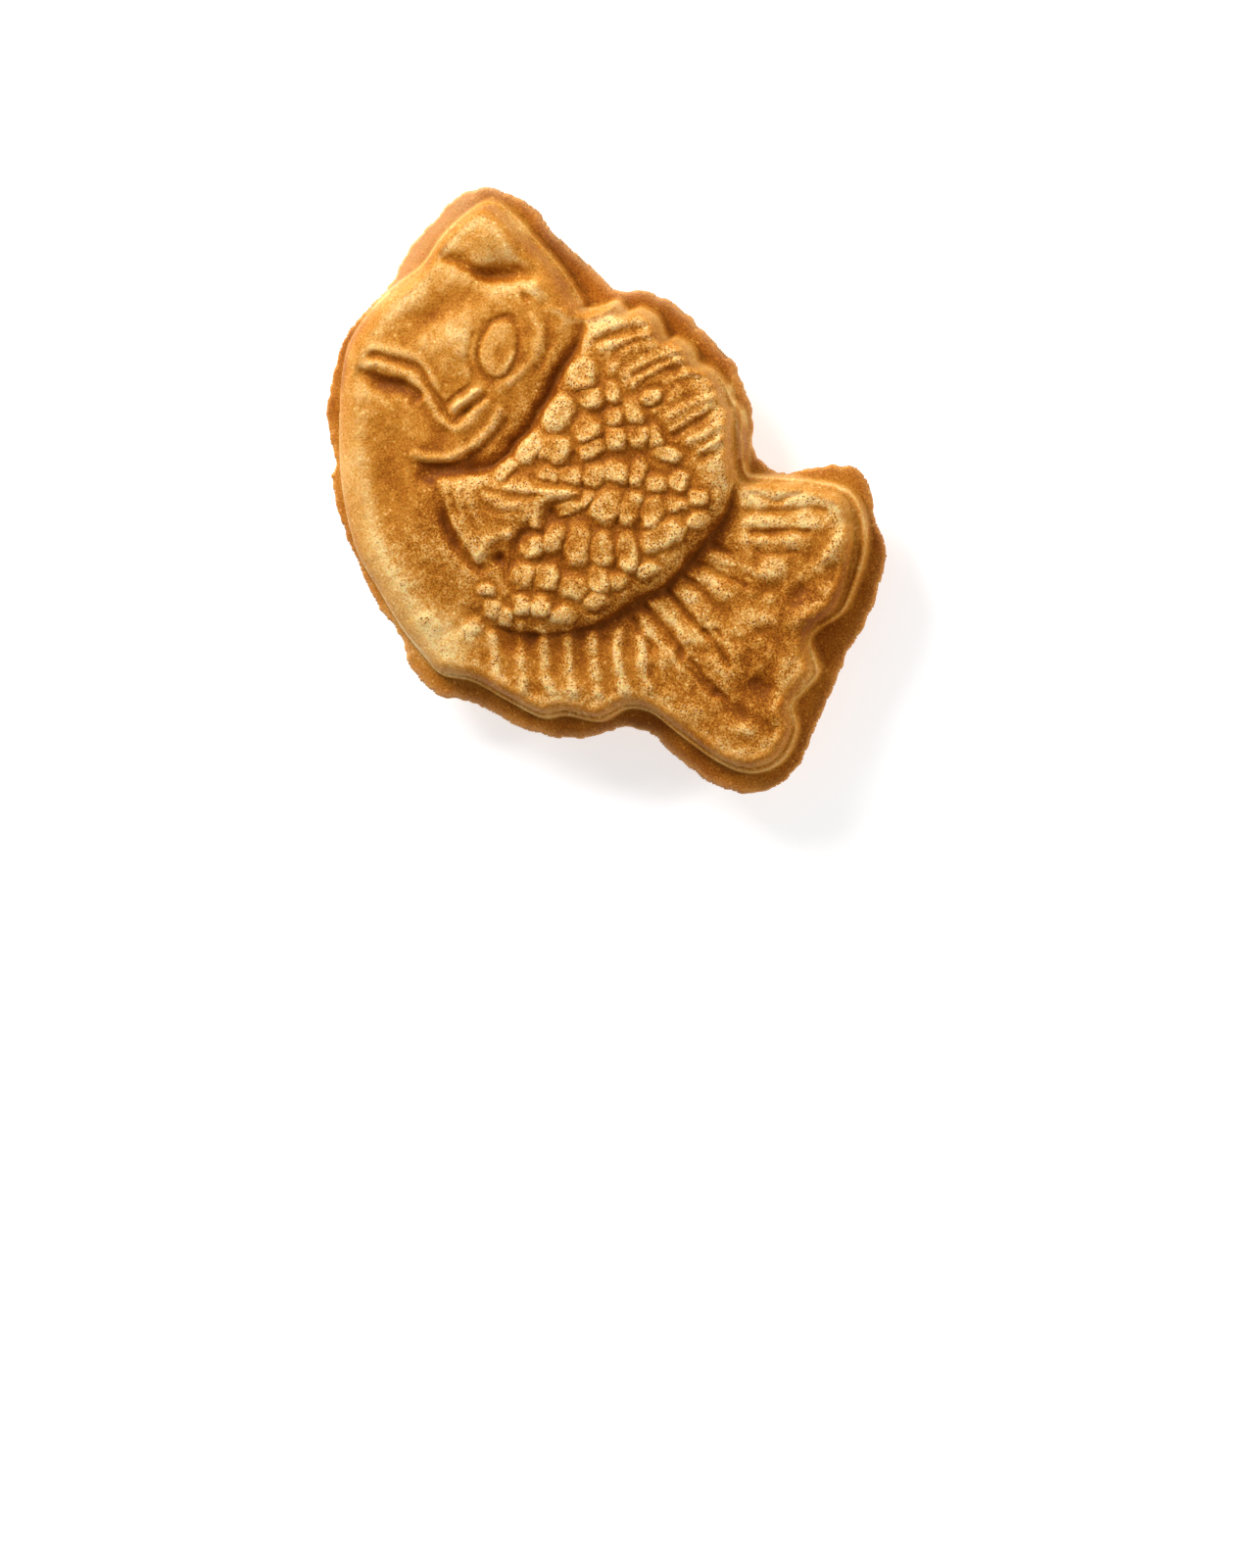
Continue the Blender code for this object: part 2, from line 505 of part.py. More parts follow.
def crust_material():
    """Golden-brown crust of baked batter."""
    material = bpy.data.materials.new("baked_crust")
    material.use_nodes = True
    shader = material.node_tree.nodes["Principled BSDF"]
    shader.inputs["Base Color"].default_value = CRUST_COLOUR
    shader.inputs["Roughness"].default_value = 0.55
    shader.inputs["Metallic"].default_value = 0
    material.diffuse_color = CRUST_COLOUR
    return material


def as_evaluated(source, name):
    """A new mesh that holds what the object's modifiers make of it."""
    graph = bpy.context.evaluated_depsgraph_get()
    mesh = bpy.data.meshes.new_from_object(source.evaluated_get(graph))
    mesh.name = name
    return mesh


def lay_on_its_back(cake):
    """Flatten the lower face where the cake lies, and put the origin under the middle of its box."""
    floor = -REST_HEIGHT * MM
    mesh = bmesh.new()
    mesh.from_mesh(cake.data)
    for vert in mesh.verts:
        vert.co.z = max(vert.co.z, floor)
    places = np.array([vert.co for vert in mesh.verts])
    middle = (places.min(axis=0) + places.max(axis=0)) / 2
    bmesh.ops.translate(mesh, verts=mesh.verts, vec=(-middle[0], -middle[1], -floor))
    mesh.to_mesh(cake.data)
    mesh.free()


def make_cake(collection):
    """Both halves as one closed solid, with fewer faces where the crust is plain."""
    upper = make_upper_half()
    mesh = bpy.data.meshes.new(NAME)
    upper.to_mesh(mesh)
    upper.free()
    cake = bpy.data.objects.new(NAME, mesh)
    collection.objects.link(cake)
    halves = cake.modifiers.new("lower half", "MIRROR")
    halves.use_axis = (False, False, True)
    halves.use_mirror_merge = True
    halves.merge_threshold = MERGE
    thinning = cake.modifiers.new("fewer faces", "DECIMATE")
    thinning.ratio = FACES_WANTED / (2 * len(mesh.polygons))
    cake.data = as_evaluated(cake, NAME)
    cake.modifiers.clear()
    lay_on_its_back(cake)
    cake.data.shade_smooth()
    cake.data.materials.clear()
    cake.data.materials.append(crust_material())
    return cake


def main():
    for thing in list(bpy.data.objects):
        bpy.data.objects.remove(thing)
    parts = bpy.data.collections.new(NAME)
    bpy.context.scene.collection.children.link(parts)
    make_cake(parts)


main()
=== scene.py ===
"""A fish-shaped filled cake, baked shut between two iron moulds and laid on its side to be looked at.

The relief is drawn as the camera sees it. A drawn place is a pixel of a picture 1280 wide and 1600 high, and
the sight line through it meets the cake at the height of what is drawn there. Plans are ruled in sixths of a
millimetre, x to the picture's right and y down it, and heights are millimetres above the seam.
"""

import logging
import math
from dataclasses import dataclass
from enum import Enum

import bmesh
import bpy
import numpy as np
from mathutils import Matrix, Vector
from mathutils.kdtree import KDTree


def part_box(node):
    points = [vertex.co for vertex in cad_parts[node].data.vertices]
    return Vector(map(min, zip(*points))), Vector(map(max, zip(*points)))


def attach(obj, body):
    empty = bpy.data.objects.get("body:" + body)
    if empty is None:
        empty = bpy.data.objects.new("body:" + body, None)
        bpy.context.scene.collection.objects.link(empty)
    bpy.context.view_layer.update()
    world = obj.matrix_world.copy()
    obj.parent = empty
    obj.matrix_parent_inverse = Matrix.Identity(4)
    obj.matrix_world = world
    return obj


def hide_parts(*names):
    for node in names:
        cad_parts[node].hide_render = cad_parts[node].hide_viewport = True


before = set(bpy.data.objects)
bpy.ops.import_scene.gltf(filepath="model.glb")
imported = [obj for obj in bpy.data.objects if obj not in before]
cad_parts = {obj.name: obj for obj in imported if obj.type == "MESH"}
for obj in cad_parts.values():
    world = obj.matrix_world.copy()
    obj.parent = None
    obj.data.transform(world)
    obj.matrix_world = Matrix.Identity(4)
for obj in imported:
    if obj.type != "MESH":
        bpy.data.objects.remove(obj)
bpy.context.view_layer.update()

NODE = "taiyaki"
MM = 0.001
UNITS_PER_MM = 6
UNIT = MM / UNITS_PER_MM
WHITE = (1.0, 1.0, 1.0, 1.0)

log = logging.getLogger(NODE)

Socket = bpy.types.NodeSocket
# What a node's input takes: a number, a colour or a vector, or what another node gives
Feed = float | tuple[float, ...] | Socket


class Level(Enum):
    """Heights that the relief steps between, in millimetres above the seam."""

    RIM = 0.7
    LEDGE = 3.6
    TAIL = 6.3
    FIN = 7.6
    TRUNK = 9.9


class Side(Enum):
    """The two faces of the cake, and which way each looks."""

    FRONT = 1
    BACK = -1


@dataclass(frozen=True)
class Sight:
    """The camera's sight lines over the plan: where the eye is, and what it looks straight at."""

    eye: tuple[float, float, float] = (1620, 170, 6000)
    aim: tuple[float, float, float] = (640, 800, 0)
    picture_middle: tuple[float, float] = (640, 800)
    picture_height: float = 1600

    def reach(self) -> float:
        """How far the eye is from what it looks at, which makes a pixel there one unit of the plan."""
        return math.dist(self.eye, self.aim)

    def axes(self) -> tuple[np.ndarray, np.ndarray, np.ndarray]:
        """Work out the picture's directions.

        Returns:
            Unit vectors ahead of the eye, to the picture's right and down it, in plan and height.
        """
        ahead = (np.array(self.aim, float) - self.eye) / self.reach()
        down = np.array((0, 1, 0)) - ahead[1] * ahead
        down /= np.linalg.norm(down)
        right = np.array((1, 0, 0)) - ahead[0] * ahead - down[0] * down
        right /= np.linalg.norm(right)
        return ahead, right, down

    def in_plan(self, seen: np.ndarray, height: float) -> np.ndarray:
        """Follow the sight lines down to a height.

        Args:
            seen: Places in the picture, in pixels.
            height: The height that they are drawn at, in millimetres above the seam.

        Returns:
            Their places in plan.
        """
        ahead, right, down = self.axes()
        off = np.asarray(seen, float) - self.picture_middle
        ray = ahead * self.reach() + off[..., :1] * right + off[..., 1:] * down
        share = (height * UNITS_PER_MM - self.eye[2]) / ray[..., 2:]
        return np.array(self.eye[:2]) + ray[..., :2] * share


SIGHT = Sight()


def ramp(value: np.ndarray) -> np.ndarray:
    """0 below 0 and 1 above 1, with soft ends."""
    value = np.clip(value, 0, 1)
    return value * value * (3 - 2 * value)


def shoulder(value: np.ndarray) -> np.ndarray:
    """A quarter round: 0 below 0, steep at first, and level from 1 on."""
    value = np.clip(value, 0, 1)
    return np.sqrt(1 - (1 - value) ** 2)


def curve_through(points: tuple, closed: bool = False, steps: int = 8) -> np.ndarray:
    """Draw a smooth curve through points.

    Args:
        points: The points, in order.
        closed: Whether the curve comes back to its start.
        steps: How many short lines go from one point to the next.

    Returns:
        The ends of the short lines; a closed curve's last is its first.
    """
    knots = np.array(points, float)
    if closed:
        before, start = np.roll(knots, 1, axis=0), knots
        after, far = np.roll(knots, -1, axis=0), np.roll(knots, -2, axis=0)
    else:
        knots = np.vstack([2 * knots[0] - knots[1], knots, 2 * knots[-1] - knots[-2]])
        before, start, after, far = knots[:-3], knots[1:-2], knots[2:-1], knots[3:]
    t = (np.arange(steps) / steps)[:, None, None]
    curve = start + 0.5 * (
        (after - before) * t
        + (2 * before - 5 * start + 4 * after - far) * t**2
        + (3 * start - before - 3 * after + far) * t**3
    )
    curve = curve.transpose(1, 0, 2).reshape(-1, 2)
    return np.vstack([curve, curve[:1] if closed else after[-1:]])


class Path:
    """A line in plan that finds its own nearest place to any point.

    Args:
        points: Its points, close together; a closed line's last is its first.
    """

    def __init__(self, points: np.ndarray) -> None:
        """Measure the line and plant its tree."""
        self.points = points
        step = np.diff(points, axis=0)
        self.lengths = np.hypot(*step.T)
        self.starts = np.concatenate([[0], np.cumsum(self.lengths)[:-1]])
        self.length = float(self.lengths.sum())
        self.closed = bool(np.allclose(points[0], points[-1]))
        self.tree = KDTree(len(points))
        for index, (x, y) in enumerate(points):
            self.tree.insert((x, y, 0), index)
        self.tree.balance()

    def nearest(self, plan: np.ndarray) -> tuple[np.ndarray, np.ndarray, np.ndarray, np.ndarray]:
        """Find the nearest place on the line to each point.

        Args:
            plan: The points.

        Returns:
            For each: its distance, how far along the line its nearest place is, that place, and 1 where the
            point is on the line's right or -1 on its left.
        """
        knot = np.array([self.tree.find((x, y, 0))[1] for x, y in plan], int)
        last = len(self.lengths)
        best = None
        for segment in (knot - 1, knot):
            segment = segment % last if self.closed else np.clip(segment, 0, last - 1)
            start = self.points[segment]
            step = self.points[segment + 1] - start
            off = plan - start
            share = np.clip((off * step).sum(axis=1) / np.maximum((step**2).sum(axis=1), 1e-9), 0, 1)
            place = start + share[:, None] * step
            apart = np.hypot(*(plan - place).T)
            along = self.starts[segment] + share * self.lengths[segment]
            hand = np.where(step[:, 0] * off[:, 1] - step[:, 1] * off[:, 0] > 0, 1, -1)
            if best is None:
                best = [apart, along, place, hand]
                continue
            nearer = apart < best[0]
            best = [
                np.where(nearer, apart, best[0]),
                np.where(nearer, along, best[1]),
                np.where(nearer[:, None], place, best[2]),
                np.where(nearer, hand, best[3]),
            ]
        return tuple(best)

    def depth(self, plan: np.ndarray) -> np.ndarray:
        """Measure how deep points lie inside the closed line.

        Args:
            plan: The points.

        Returns:
            Their depths, below 0 outside the line.
        """
        apart, _, _, hand = self.nearest(plan)
        x, y = self.points.T
        turns = np.sign((x[:-1] * y[1:] - x[1:] * y[:-1]).sum())
        return apart * hand * turns


@dataclass(frozen=True)
class Unevenness:
    """Smooth random waves: how wide, how strong, and which draw."""

    size: float
    rise: float
    seed: int
    lattice: int = 256

    def at(self, plan: np.ndarray) -> np.ndarray:
        """Work out how high the waves stand.

        Args:
            plan: Points in plan.

        Returns:
            The height at each.
        """
        draws = np.random.default_rng(self.seed).uniform(-1, 1, (self.lattice, self.lattice))
        cell = plan / self.size
        corner = np.floor(cell).astype(int)
        across, down = ramp(cell - corner).T
        x, y = (corner % self.lattice).T
        after_x, after_y = (x + 1) % self.lattice, (y + 1) % self.lattice
        top = draws[x, y] * (1 - across) + draws[after_x, y] * across
        foot = draws[x, after_y] * (1 - across) + draws[after_x, after_y] * across
        return self.rise * (top * (1 - down) + foot * down)


@dataclass(frozen=True)
class Press:
    """Lines cut alike into the mould: how high they stand, or how deep below 0, and how wide on each hand.

    A line is felt out to so many widths, and at its very ends it keeps a share of its rise.
    """

    rise: float
    left: float
    right: float
    lines: tuple
    widths_felt: float = 3.0
    end_share: float = 0.3

    def relief(self, plan: np.ndarray, level: Level) -> np.ndarray:
        """Sum what the lines add.

        Args:
            plan: Points in plan.
            level: The height that the lines are seen at.

        Returns:
            The height that they add at each point.
        """
        total = np.zeros(len(plan))
        reach = self.widths_felt * max(self.left, self.right)
        for line in self.lines:
            path = Path(curve_through(SIGHT.in_plan(line, level.value)))
            low, high = path.points.min(axis=0) - reach, path.points.max(axis=0) + reach
            near = ((plan > low) & (plan < high)).all(axis=1)
            if not near.any():
                continue
            apart, along, _, hand = path.nearest(plan[near])
            fade = ramp(self.end_share + along / (2 * self.left))
            fade *= ramp(self.end_share + (path.length - along) / (2 * self.left))
            width = np.where(hand > 0, self.right, self.left)
            total[near] += self.rise * fade * np.exp(-((apart / width) ** 2))
        return total


@dataclass(frozen=True)
class Swelling:
    """A soft round bump or hollow."""

    middle: tuple[float, float]
    radius: float
    rise: float

    def relief(self, plan: np.ndarray, level: Level) -> np.ndarray:
        """The height that it adds at each point."""
        off = plan - SIGHT.in_plan(self.middle, level.value)
        return self.rise * np.exp(-(off**2).sum(axis=1) / self.radius**2)


@dataclass(frozen=True)
class Leaning:
    """An oval that leans over: its middle in the picture, its half sizes and its lean in degrees."""

    middle: tuple[float, float]
    half_width: float
    half_length: float
    lean: float
    squareness: float = 2.0

    def size_at(self, plan: np.ndarray, level: Level) -> np.ndarray:
        """Measure how far out in the oval points lie.

        Args:
            plan: Points in plan.
            level: The height that the oval is seen at.

        Returns:
            For each: 0 in the oval's middle, 1 on its edge and more outside it.
        """
        off = plan - SIGHT.in_plan(self.middle, level.value)
        turn = math.radians(self.lean)
        across = off[:, 0] * math.cos(turn) + off[:, 1] * math.sin(turn)
        down = off[:, 1] * math.cos(turn) - off[:, 0] * math.sin(turn)
        across, down = np.abs(across / self.half_width), np.abs(down / self.half_length)
        return (across**self.squareness + down**self.squareness) ** (1 / self.squareness)


@dataclass(frozen=True)
class Outlines:
    """The cake's outlines as they are seen, and the widths of its steps in plan."""

    rim: tuple = (
        (465, 201), (492, 190), (522, 199), (545, 213), (570, 243), (600, 268), (628, 293), (660, 297),
        (690, 311), (716, 339), (745, 366), (757, 390), (768, 428), (768, 456), (786, 478), (808, 483),
        (838, 477), (873, 479), (888, 503), (892, 532), (904, 560), (897, 600), (880, 640), (860, 676),
        (846, 710), (833, 745), (812, 786), (780, 808), (740, 806), (700, 780), (664, 750), (632, 744),
        (600, 754), (560, 752), (520, 738), (484, 718), (450, 711), (422, 689), (404, 646), (381, 612),
        (362, 570), (347, 528), (336, 488), (341, 474), (333, 436), (332, 420), (341, 375), (350, 346),
        (380, 311), (402, 284), (415, 256), (437, 231),
    )
    # Each place on the ledge: x, y, the ledge's width there, and how far the shoulder inside it takes to rise
    ledge: tuple = (
        (500, 206, 2, 9), (522, 219, 2, 12), (548, 247, 2.5, 18), (574, 277, 2.5, 22), (591, 304, 2, 20),
        (597, 315, 1, 10), (614, 313, 2, 7), (630, 308, 1, 6), (641, 318, 1, 6), (655, 315, 1, 6),
        (671, 324, 1, 6), (680, 345, 1, 6), (692, 345, 1, 6), (706, 356, 1, 6), (712, 370, 1, 6),
        (728, 378, 1, 6), (740, 394, 2, 6), (746, 408, 4, 6), (755, 420, 6, 6), (757, 452, 8, 6),
        (761, 482, 8, 8), (780, 487, 4, 9), (825, 491, 3, 9), (862, 500, 5, 10), (879, 522, 10, 9),
        (882, 564, 12, 9), (862, 620, 8, 10), (834, 642, 4, 10), (826, 656, 2, 10), (834, 685, 4, 12),
        (820, 704, 2, 12), (808, 720, 2, 10), (812, 746, 4, 10), (797, 776, 5, 12), (768, 788, 5, 12),
        (735, 778, 4, 12), (695, 750, 4, 12), (666, 727, 3, 12), (640, 722, 3, 12), (612, 735, 4, 12),
        (578, 729, 4, 12), (552, 731, 4, 12), (516, 713, 4, 13), (482, 694, 3, 14), (450, 687, 2, 16),
        (432, 668, 1, 18), (410, 640, 0, 22), (386, 600, 0, 26), (364, 560, 0, 27), (350, 500, 0, 27),
        (347, 440, 0, 26), (350, 380, 0, 24), (361, 342, 1, 20), (394, 301, 2, 16), (430, 272, 2, 12),
        (452, 241, 2, 9), (478, 217, 2, 8),
    )
    trunk_end: tuple = (
        (790, 455), (752, 480), (738, 524), (720, 548), (702, 570), (676, 598), (646, 613), (615, 634),
        (580, 645), (540, 648), (500, 640), (478, 622), (456, 616), (430, 620), (395, 640), (350, 680),
    )
    trunk_rest: tuple = ((200, 700), (200, 100), (900, 100), (900, 430))
    rim_rounding: float = 3.0
    wall_width: float = 4.5
    trunk_rounding: float = 27.0
    belly_rounding: float = 110.0
    crumbs: tuple[Unevenness, ...] = (
        Unevenness(5, 1.1, 3), Unevenness(11, 1.4, 4), Unevenness(31, 1.4, 5),
    )
    rim_steps: int = 14
    rest_steps: int = 60

    def ledge_path(self) -> Path:
        """The ledge's outer edge in plan."""
        seen = [place[:2] for place in self.ledge]
        return Path(curve_through(SIGHT.in_plan(seen, Level.LEDGE.value), closed=True))

    def widths(self, along: np.ndarray, ledge: Path) -> tuple[np.ndarray, np.ndarray]:
        """Look up how wide the ledge and the shoulder are.

        Args:
            along: Distances along the ledge's outer edge.
            ledge: That edge.

        Returns:
            Both widths at each.
        """
        every = (len(ledge.points) - 1) // len(self.ledge)
        knots = ledge.starts[::every]
        return tuple(
            np.interp(along, knots, [place[column] for place in self.ledge], period=ledge.length)
            for column in (2, 3)
        )

    def rim_path(self) -> Path:
        """Draw the rim's outer edge, frayed where batter ran out and set.

        Returns:
            The edge in plan.
        """
        outline = curve_through(SIGHT.in_plan(self.rim, Level.RIM.value), True, self.rim_steps)[:-1]
        step = np.roll(outline, -1, axis=0) - np.roll(outline, 1, axis=0)
        outward = np.stack([step[:, 1], -step[:, 0]], axis=1) / np.hypot(*step.T)[:, None]
        fray = sum(crumb.at(outline) for crumb in self.crumbs)
        outline = outline + outward * fray[:, None]
        return Path(np.vstack([outline, outline[:1]]))

    def trunk_path(self) -> Path:
        """Draw the line inside which the trunk stands above the tail and the belly fin.

        Returns:
            The line in plan.
        """
        end = curve_through(SIGHT.in_plan(self.trunk_end, Level.TRUNK.value))
        corners = np.vstack([end[-1:], self.trunk_rest, end[:1]])
        rest = [np.linspace(a, b, self.rest_steps)[1:] for a, b in zip(corners[:-1], corners[1:])]
        return Path(np.vstack([end, *rest]))


@dataclass(frozen=True)
class Trunk:
    """The low dome of the trunk, which falls away toward the back fin."""

    dome_middle: tuple[float, float] = (575, 440)
    dome_radius: float = 230.0
    dome_fall: float = 1.4
    dome_limit: float = 1.2
    fin_root: tuple[float, float] = (640, 375)
    fin_direction: tuple[float, float] = (0.72, -0.69)
    fin_reach: float = 60.0
    fin_start: float = 590.0
    fin_start_blend: float = 30.0

    def height(self, plan: np.ndarray) -> np.ndarray:
        """Work out the trunk's height without what is pressed into it.

        Args:
            plan: Points in plan.

        Returns:
            The height of each above the seam.
        """
        middle = SIGHT.in_plan(self.dome_middle, Level.TRUNK.value)
        from_middle = np.hypot(*(plan - middle).T)
        share = np.minimum(from_middle / self.dome_radius, self.dome_limit)
        dome = Level.TRUNK.value - self.dome_fall * share**2
        root = SIGHT.in_plan(self.fin_root, Level.FIN.value)
        toward_fin = ramp(((plan - root) @ self.fin_direction) / self.fin_reach)
        behind_gill = ramp((plan[:, 0] - self.fin_start) / self.fin_start_blend)
        drop = Level.TRUNK.value - Level.FIN.value - self.dome_fall
        return dome - drop * toward_fin * behind_gill


@dataclass(frozen=True)
class ScaleCoat:
    """Rounded scales, each leaning its own way, on a bed a little lower than the trunk.

    A scale is flat to one share of its size and reaches its foot at another, and the bed ends further out.
    Small scales stand lower than big ones.
    """

    rise: float = 0.8
    bed: float = 0.3
    flat: float = 0.72
    foot: float = 1.38
    bed_end: float = 2.3
    bed_blend: float = 0.9
    felt: float = 2.4
    grown: float = 1.2
    least_share: float = 0.55
    share_width: float = 20.0
    tipping: float = 0.38
    light_side: tuple[float, float] = (0.5, 0.85)
    squareness: float = 2.5
    wobble: tuple[Unevenness, Unevenness] = (Unevenness(8, 2.2, 31), Unevenness(8, 2.2, 32))
    heights: Unevenness = Unevenness(14, 0.3, 33)
    pads: tuple = (
        # The rows under the gill cover, from the back fin down
        (593, 381, 14, 13, -25), (602, 405, 12, 9, 10), (625, 400, 6, 9, -15), (571, 421, 12, 18, 35),
        (626, 424, 9, 7, 0), (647, 420, 8, 11, -25), (664, 405, 5, 9, 60), (598, 437, 11, 12, 40),
        (629, 446, 9, 10, 10), (651, 445, 9, 9, 0), (669, 445, 6, 10, -10), (540, 458, 9, 14, 42),
        (566, 457, 14, 12, 10), (604, 458, 12, 6, -25), (680, 463, 12, 6, 10), (515, 478, 5, 10, 45),
        # The rows across the middle
        (628, 481, 11, 11, 15), (651, 481, 8, 12, 12), (607, 485, 8, 10, 30), (582, 485, 11, 7, 0),
        (559, 484, 10, 6, 0), (670, 493, 9, 8, 10), (693, 491, 8, 9, 15), (619, 515, 13, 18, 25),
        (643, 517, 9, 17, 12), (665, 523, 9, 15, 5), (688, 515, 12, 5, 5), (577, 520, 13, 5, -25),
        (598, 509, 4, 8, 20), (711, 508, 8, 6, 10), (712, 532, 9, 6, -20),
        # The rows down to the tail and the belly fin
        (542, 557, 11, 9, 0), (565, 550, 9, 14, 20), (589, 556, 10, 20, 10), (614, 560, 10, 16, 0),
        (640, 563, 9, 19, -5), (675, 547, 21, 10, -30), (533, 587, 10, 11, 10), (557, 589, 11, 12, 0),
        (584, 599, 13, 11, 10), (610, 593, 9, 12, -10), (630, 593, 8, 6, -10), (659, 582, 10, 6, -25),
        (550, 619, 9, 9, 0), (572, 628, 11, 8, -5), (532, 617, 8, 8, 0), (501, 622, 7, 8, 0),
        (514, 631, 6, 9, 0), (607, 613, 10, 7, -20), (480, 640, 8, 7, 0), (495, 602, 7, 5, 0),
    )

    def relief(self, plan: np.ndarray) -> np.ndarray:
        """Raise the scales, each tipped up toward its free lower end.

        Args:
            plan: Points in plan.

        Returns:
            The height that the scales and the bed between them add at each point.
        """
        total, coated = np.zeros(len(plan)), np.zeros(len(plan))
        warped = plan + np.stack([wave.at(plan) for wave in self.wobble], axis=1)
        for x, y, half_width, half_length, lean in self.pads:
            pad = Leaning((x, y), half_width + self.grown, half_length + self.grown, lean, self.squareness)
            middle = SIGHT.in_plan((x, y), Level.TRUNK.value)
            near = (np.abs(plan - middle) < self.felt * max(half_width, half_length)).all(axis=1)
            size = pad.size_at(warped[near], Level.TRUNK)
            stand = ramp((self.foot - size) / (self.foot - self.flat))
            tip = ((plan[near] - middle) @ self.light_side) / max(half_width, half_length)
            share = min(1.0, self.least_share + min(half_width, half_length) / self.share_width)
            top = stand * (1 + self.tipping * np.clip(tip, -1, 1)) * share
            total[near] = np.maximum(total[near], top)
            coated[near] = np.maximum(coated[near], ramp((self.bed_end - size) / self.bed_blend))
        return self.rise * total * (1 + self.heights.at(plan)) - self.bed * coated


@dataclass(frozen=True)
class Head:
    """The nose fold, mouth, gill cover, nostril and eye."""

    presses: tuple[Press, ...] = (
        # The brow, the fold under it, and the edge of the gill cover
        Press(0.8, 26, 22, (((466, 246), (500, 238), (532, 250)),)),
        Press(-0.8, 8, 5, (((442, 262), (466, 268), (488, 279), (508, 282), (530, 279), (554, 284)),)),
        Press(-1.3, 20, 8, (((478, 275), (494, 281), (512, 282), (532, 280), (546, 283)),)),
        Press(-0.8, 5, 9, (((594, 318), (590, 345), (572, 378), (553, 412), (528, 448), (500, 474),
                             (470, 481), (440, 483)),)),
        Press(-0.95, 8, 36, (((596, 322), (590, 345), (572, 378), (553, 412), (528, 448), (500, 474),
                             (472, 480)),)),
        # The hollow that runs down from the fold to the cheek
        Press(-0.6, 15, 14, (((497, 294), (476, 303), (454, 312), (437, 322), (418, 336)),)),
        # The mouth, and the hollow under the lower lip
        Press(-0.55, 4, 4, (((375, 362), (394, 365), (411, 370), (425, 377), (437, 391), (448, 410),
                             (456, 424), (463, 430), (470, 424), (478, 414)),)),
        Press(-0.95, 6, 12, (((360, 377), (384, 388), (402, 392), (420, 397), (432, 410)),)),
        Press(-0.4, 6, 13, (((430, 410), (438, 422), (447, 436), (462, 446)),)),
        # The lips, the lid under the eye and the inner edge of the gill cover
        Press(-0.22, 4, 4, (((557, 326), (560, 344), (557, 362), (546, 380)),)),
        Press(0.3, 5, 5, (
            ((371, 355), (392, 357), (410, 359), (426, 367), (437, 382), (448, 402)),
            ((372, 371), (392, 374), (406, 379), (420, 386), (433, 404), (445, 426), (459, 436), (472, 434),
             (484, 421), (498, 408)),
            ((542, 318), (549, 334), (550, 350), (544, 366), (531, 381), (516, 393), (506, 401)),
        )),
        Press(0.75, 3.5, 3.5, (((490, 395), (476, 407), (461, 419)),)),
        Press(-0.35, 2.5, 2.5, (((482, 390), (468, 401), (455, 412)), ((497, 402), (482, 414), (469, 424)))),
        Press(0.45, 5, 6, (((416, 459), (437, 466), (462, 465), (484, 453), (503, 432), (513, 414)),)),
        Press(-0.4, 4, 5, (((422, 473), (452, 476), (482, 464), (502, 446), (517, 424)),)),
        Press(-0.3, 4, 4, (((529, 297), (540, 305)), ((546, 310), (558, 311)))),
    )
    swellings: tuple[Swelling, ...] = (
        Swelling((455, 348), 36, 0.9),
        Swelling((415, 300), 24, 0.5),
        Swelling((560, 355), 26, 0.3),
        Swelling((546, 292), 8, 0.6),
        Swelling((536, 303), 5, -0.25),
        Swelling((434, 484), 9, -0.9),
    )
    eye: Leaning = Leaning((508, 355), 19, 32, 15)
    eye_rise: float = 0.4
    eye_groove: float = 0.3
    eye_groove_width: float = 0.14
    eye_presses: tuple[Press, ...] = (
        Press(0.3, 4, 4, (((524, 356), (521, 368), (513, 379), (502, 386)),)),
        Press(-0.3, 3.5, 3.5, (((484, 336), (479, 352), (479, 370), (486, 390)),)),
        Press(-0.25, 4, 4, (((496, 326), (489, 342), (487, 360), (491, 378), (498, 388)),)),
        Press(-0.12, 6, 6, (((506, 374), (512, 352)),)),
    )

    def relief(self, plan: np.ndarray) -> np.ndarray:
        """Add up the head's features.

        Args:
            plan: Points in plan.

        Returns:
            The height that they add at each.
        """
        total = sum(piece.relief(plan, Level.TRUNK) for piece in self.presses + self.swellings)
        size = self.eye.size_at(plan, Level.TRUNK)
        total = total + sum(press.relief(plan, Level.TRUNK) for press in self.eye_presses)
        ball = self.eye_rise * np.sqrt(np.clip(1 - size**2, 0, 1))
        return total + ball - self.eye_groove * np.exp(-(((size - 1) / self.eye_groove_width) ** 2))


BELLY_GROOVE = Press(-0.62, 30, 20, (
    ((381, 420), (387, 455), (392, 490), (398, 525), (409, 556), (425, 584), (445, 606), (467, 620)),
))


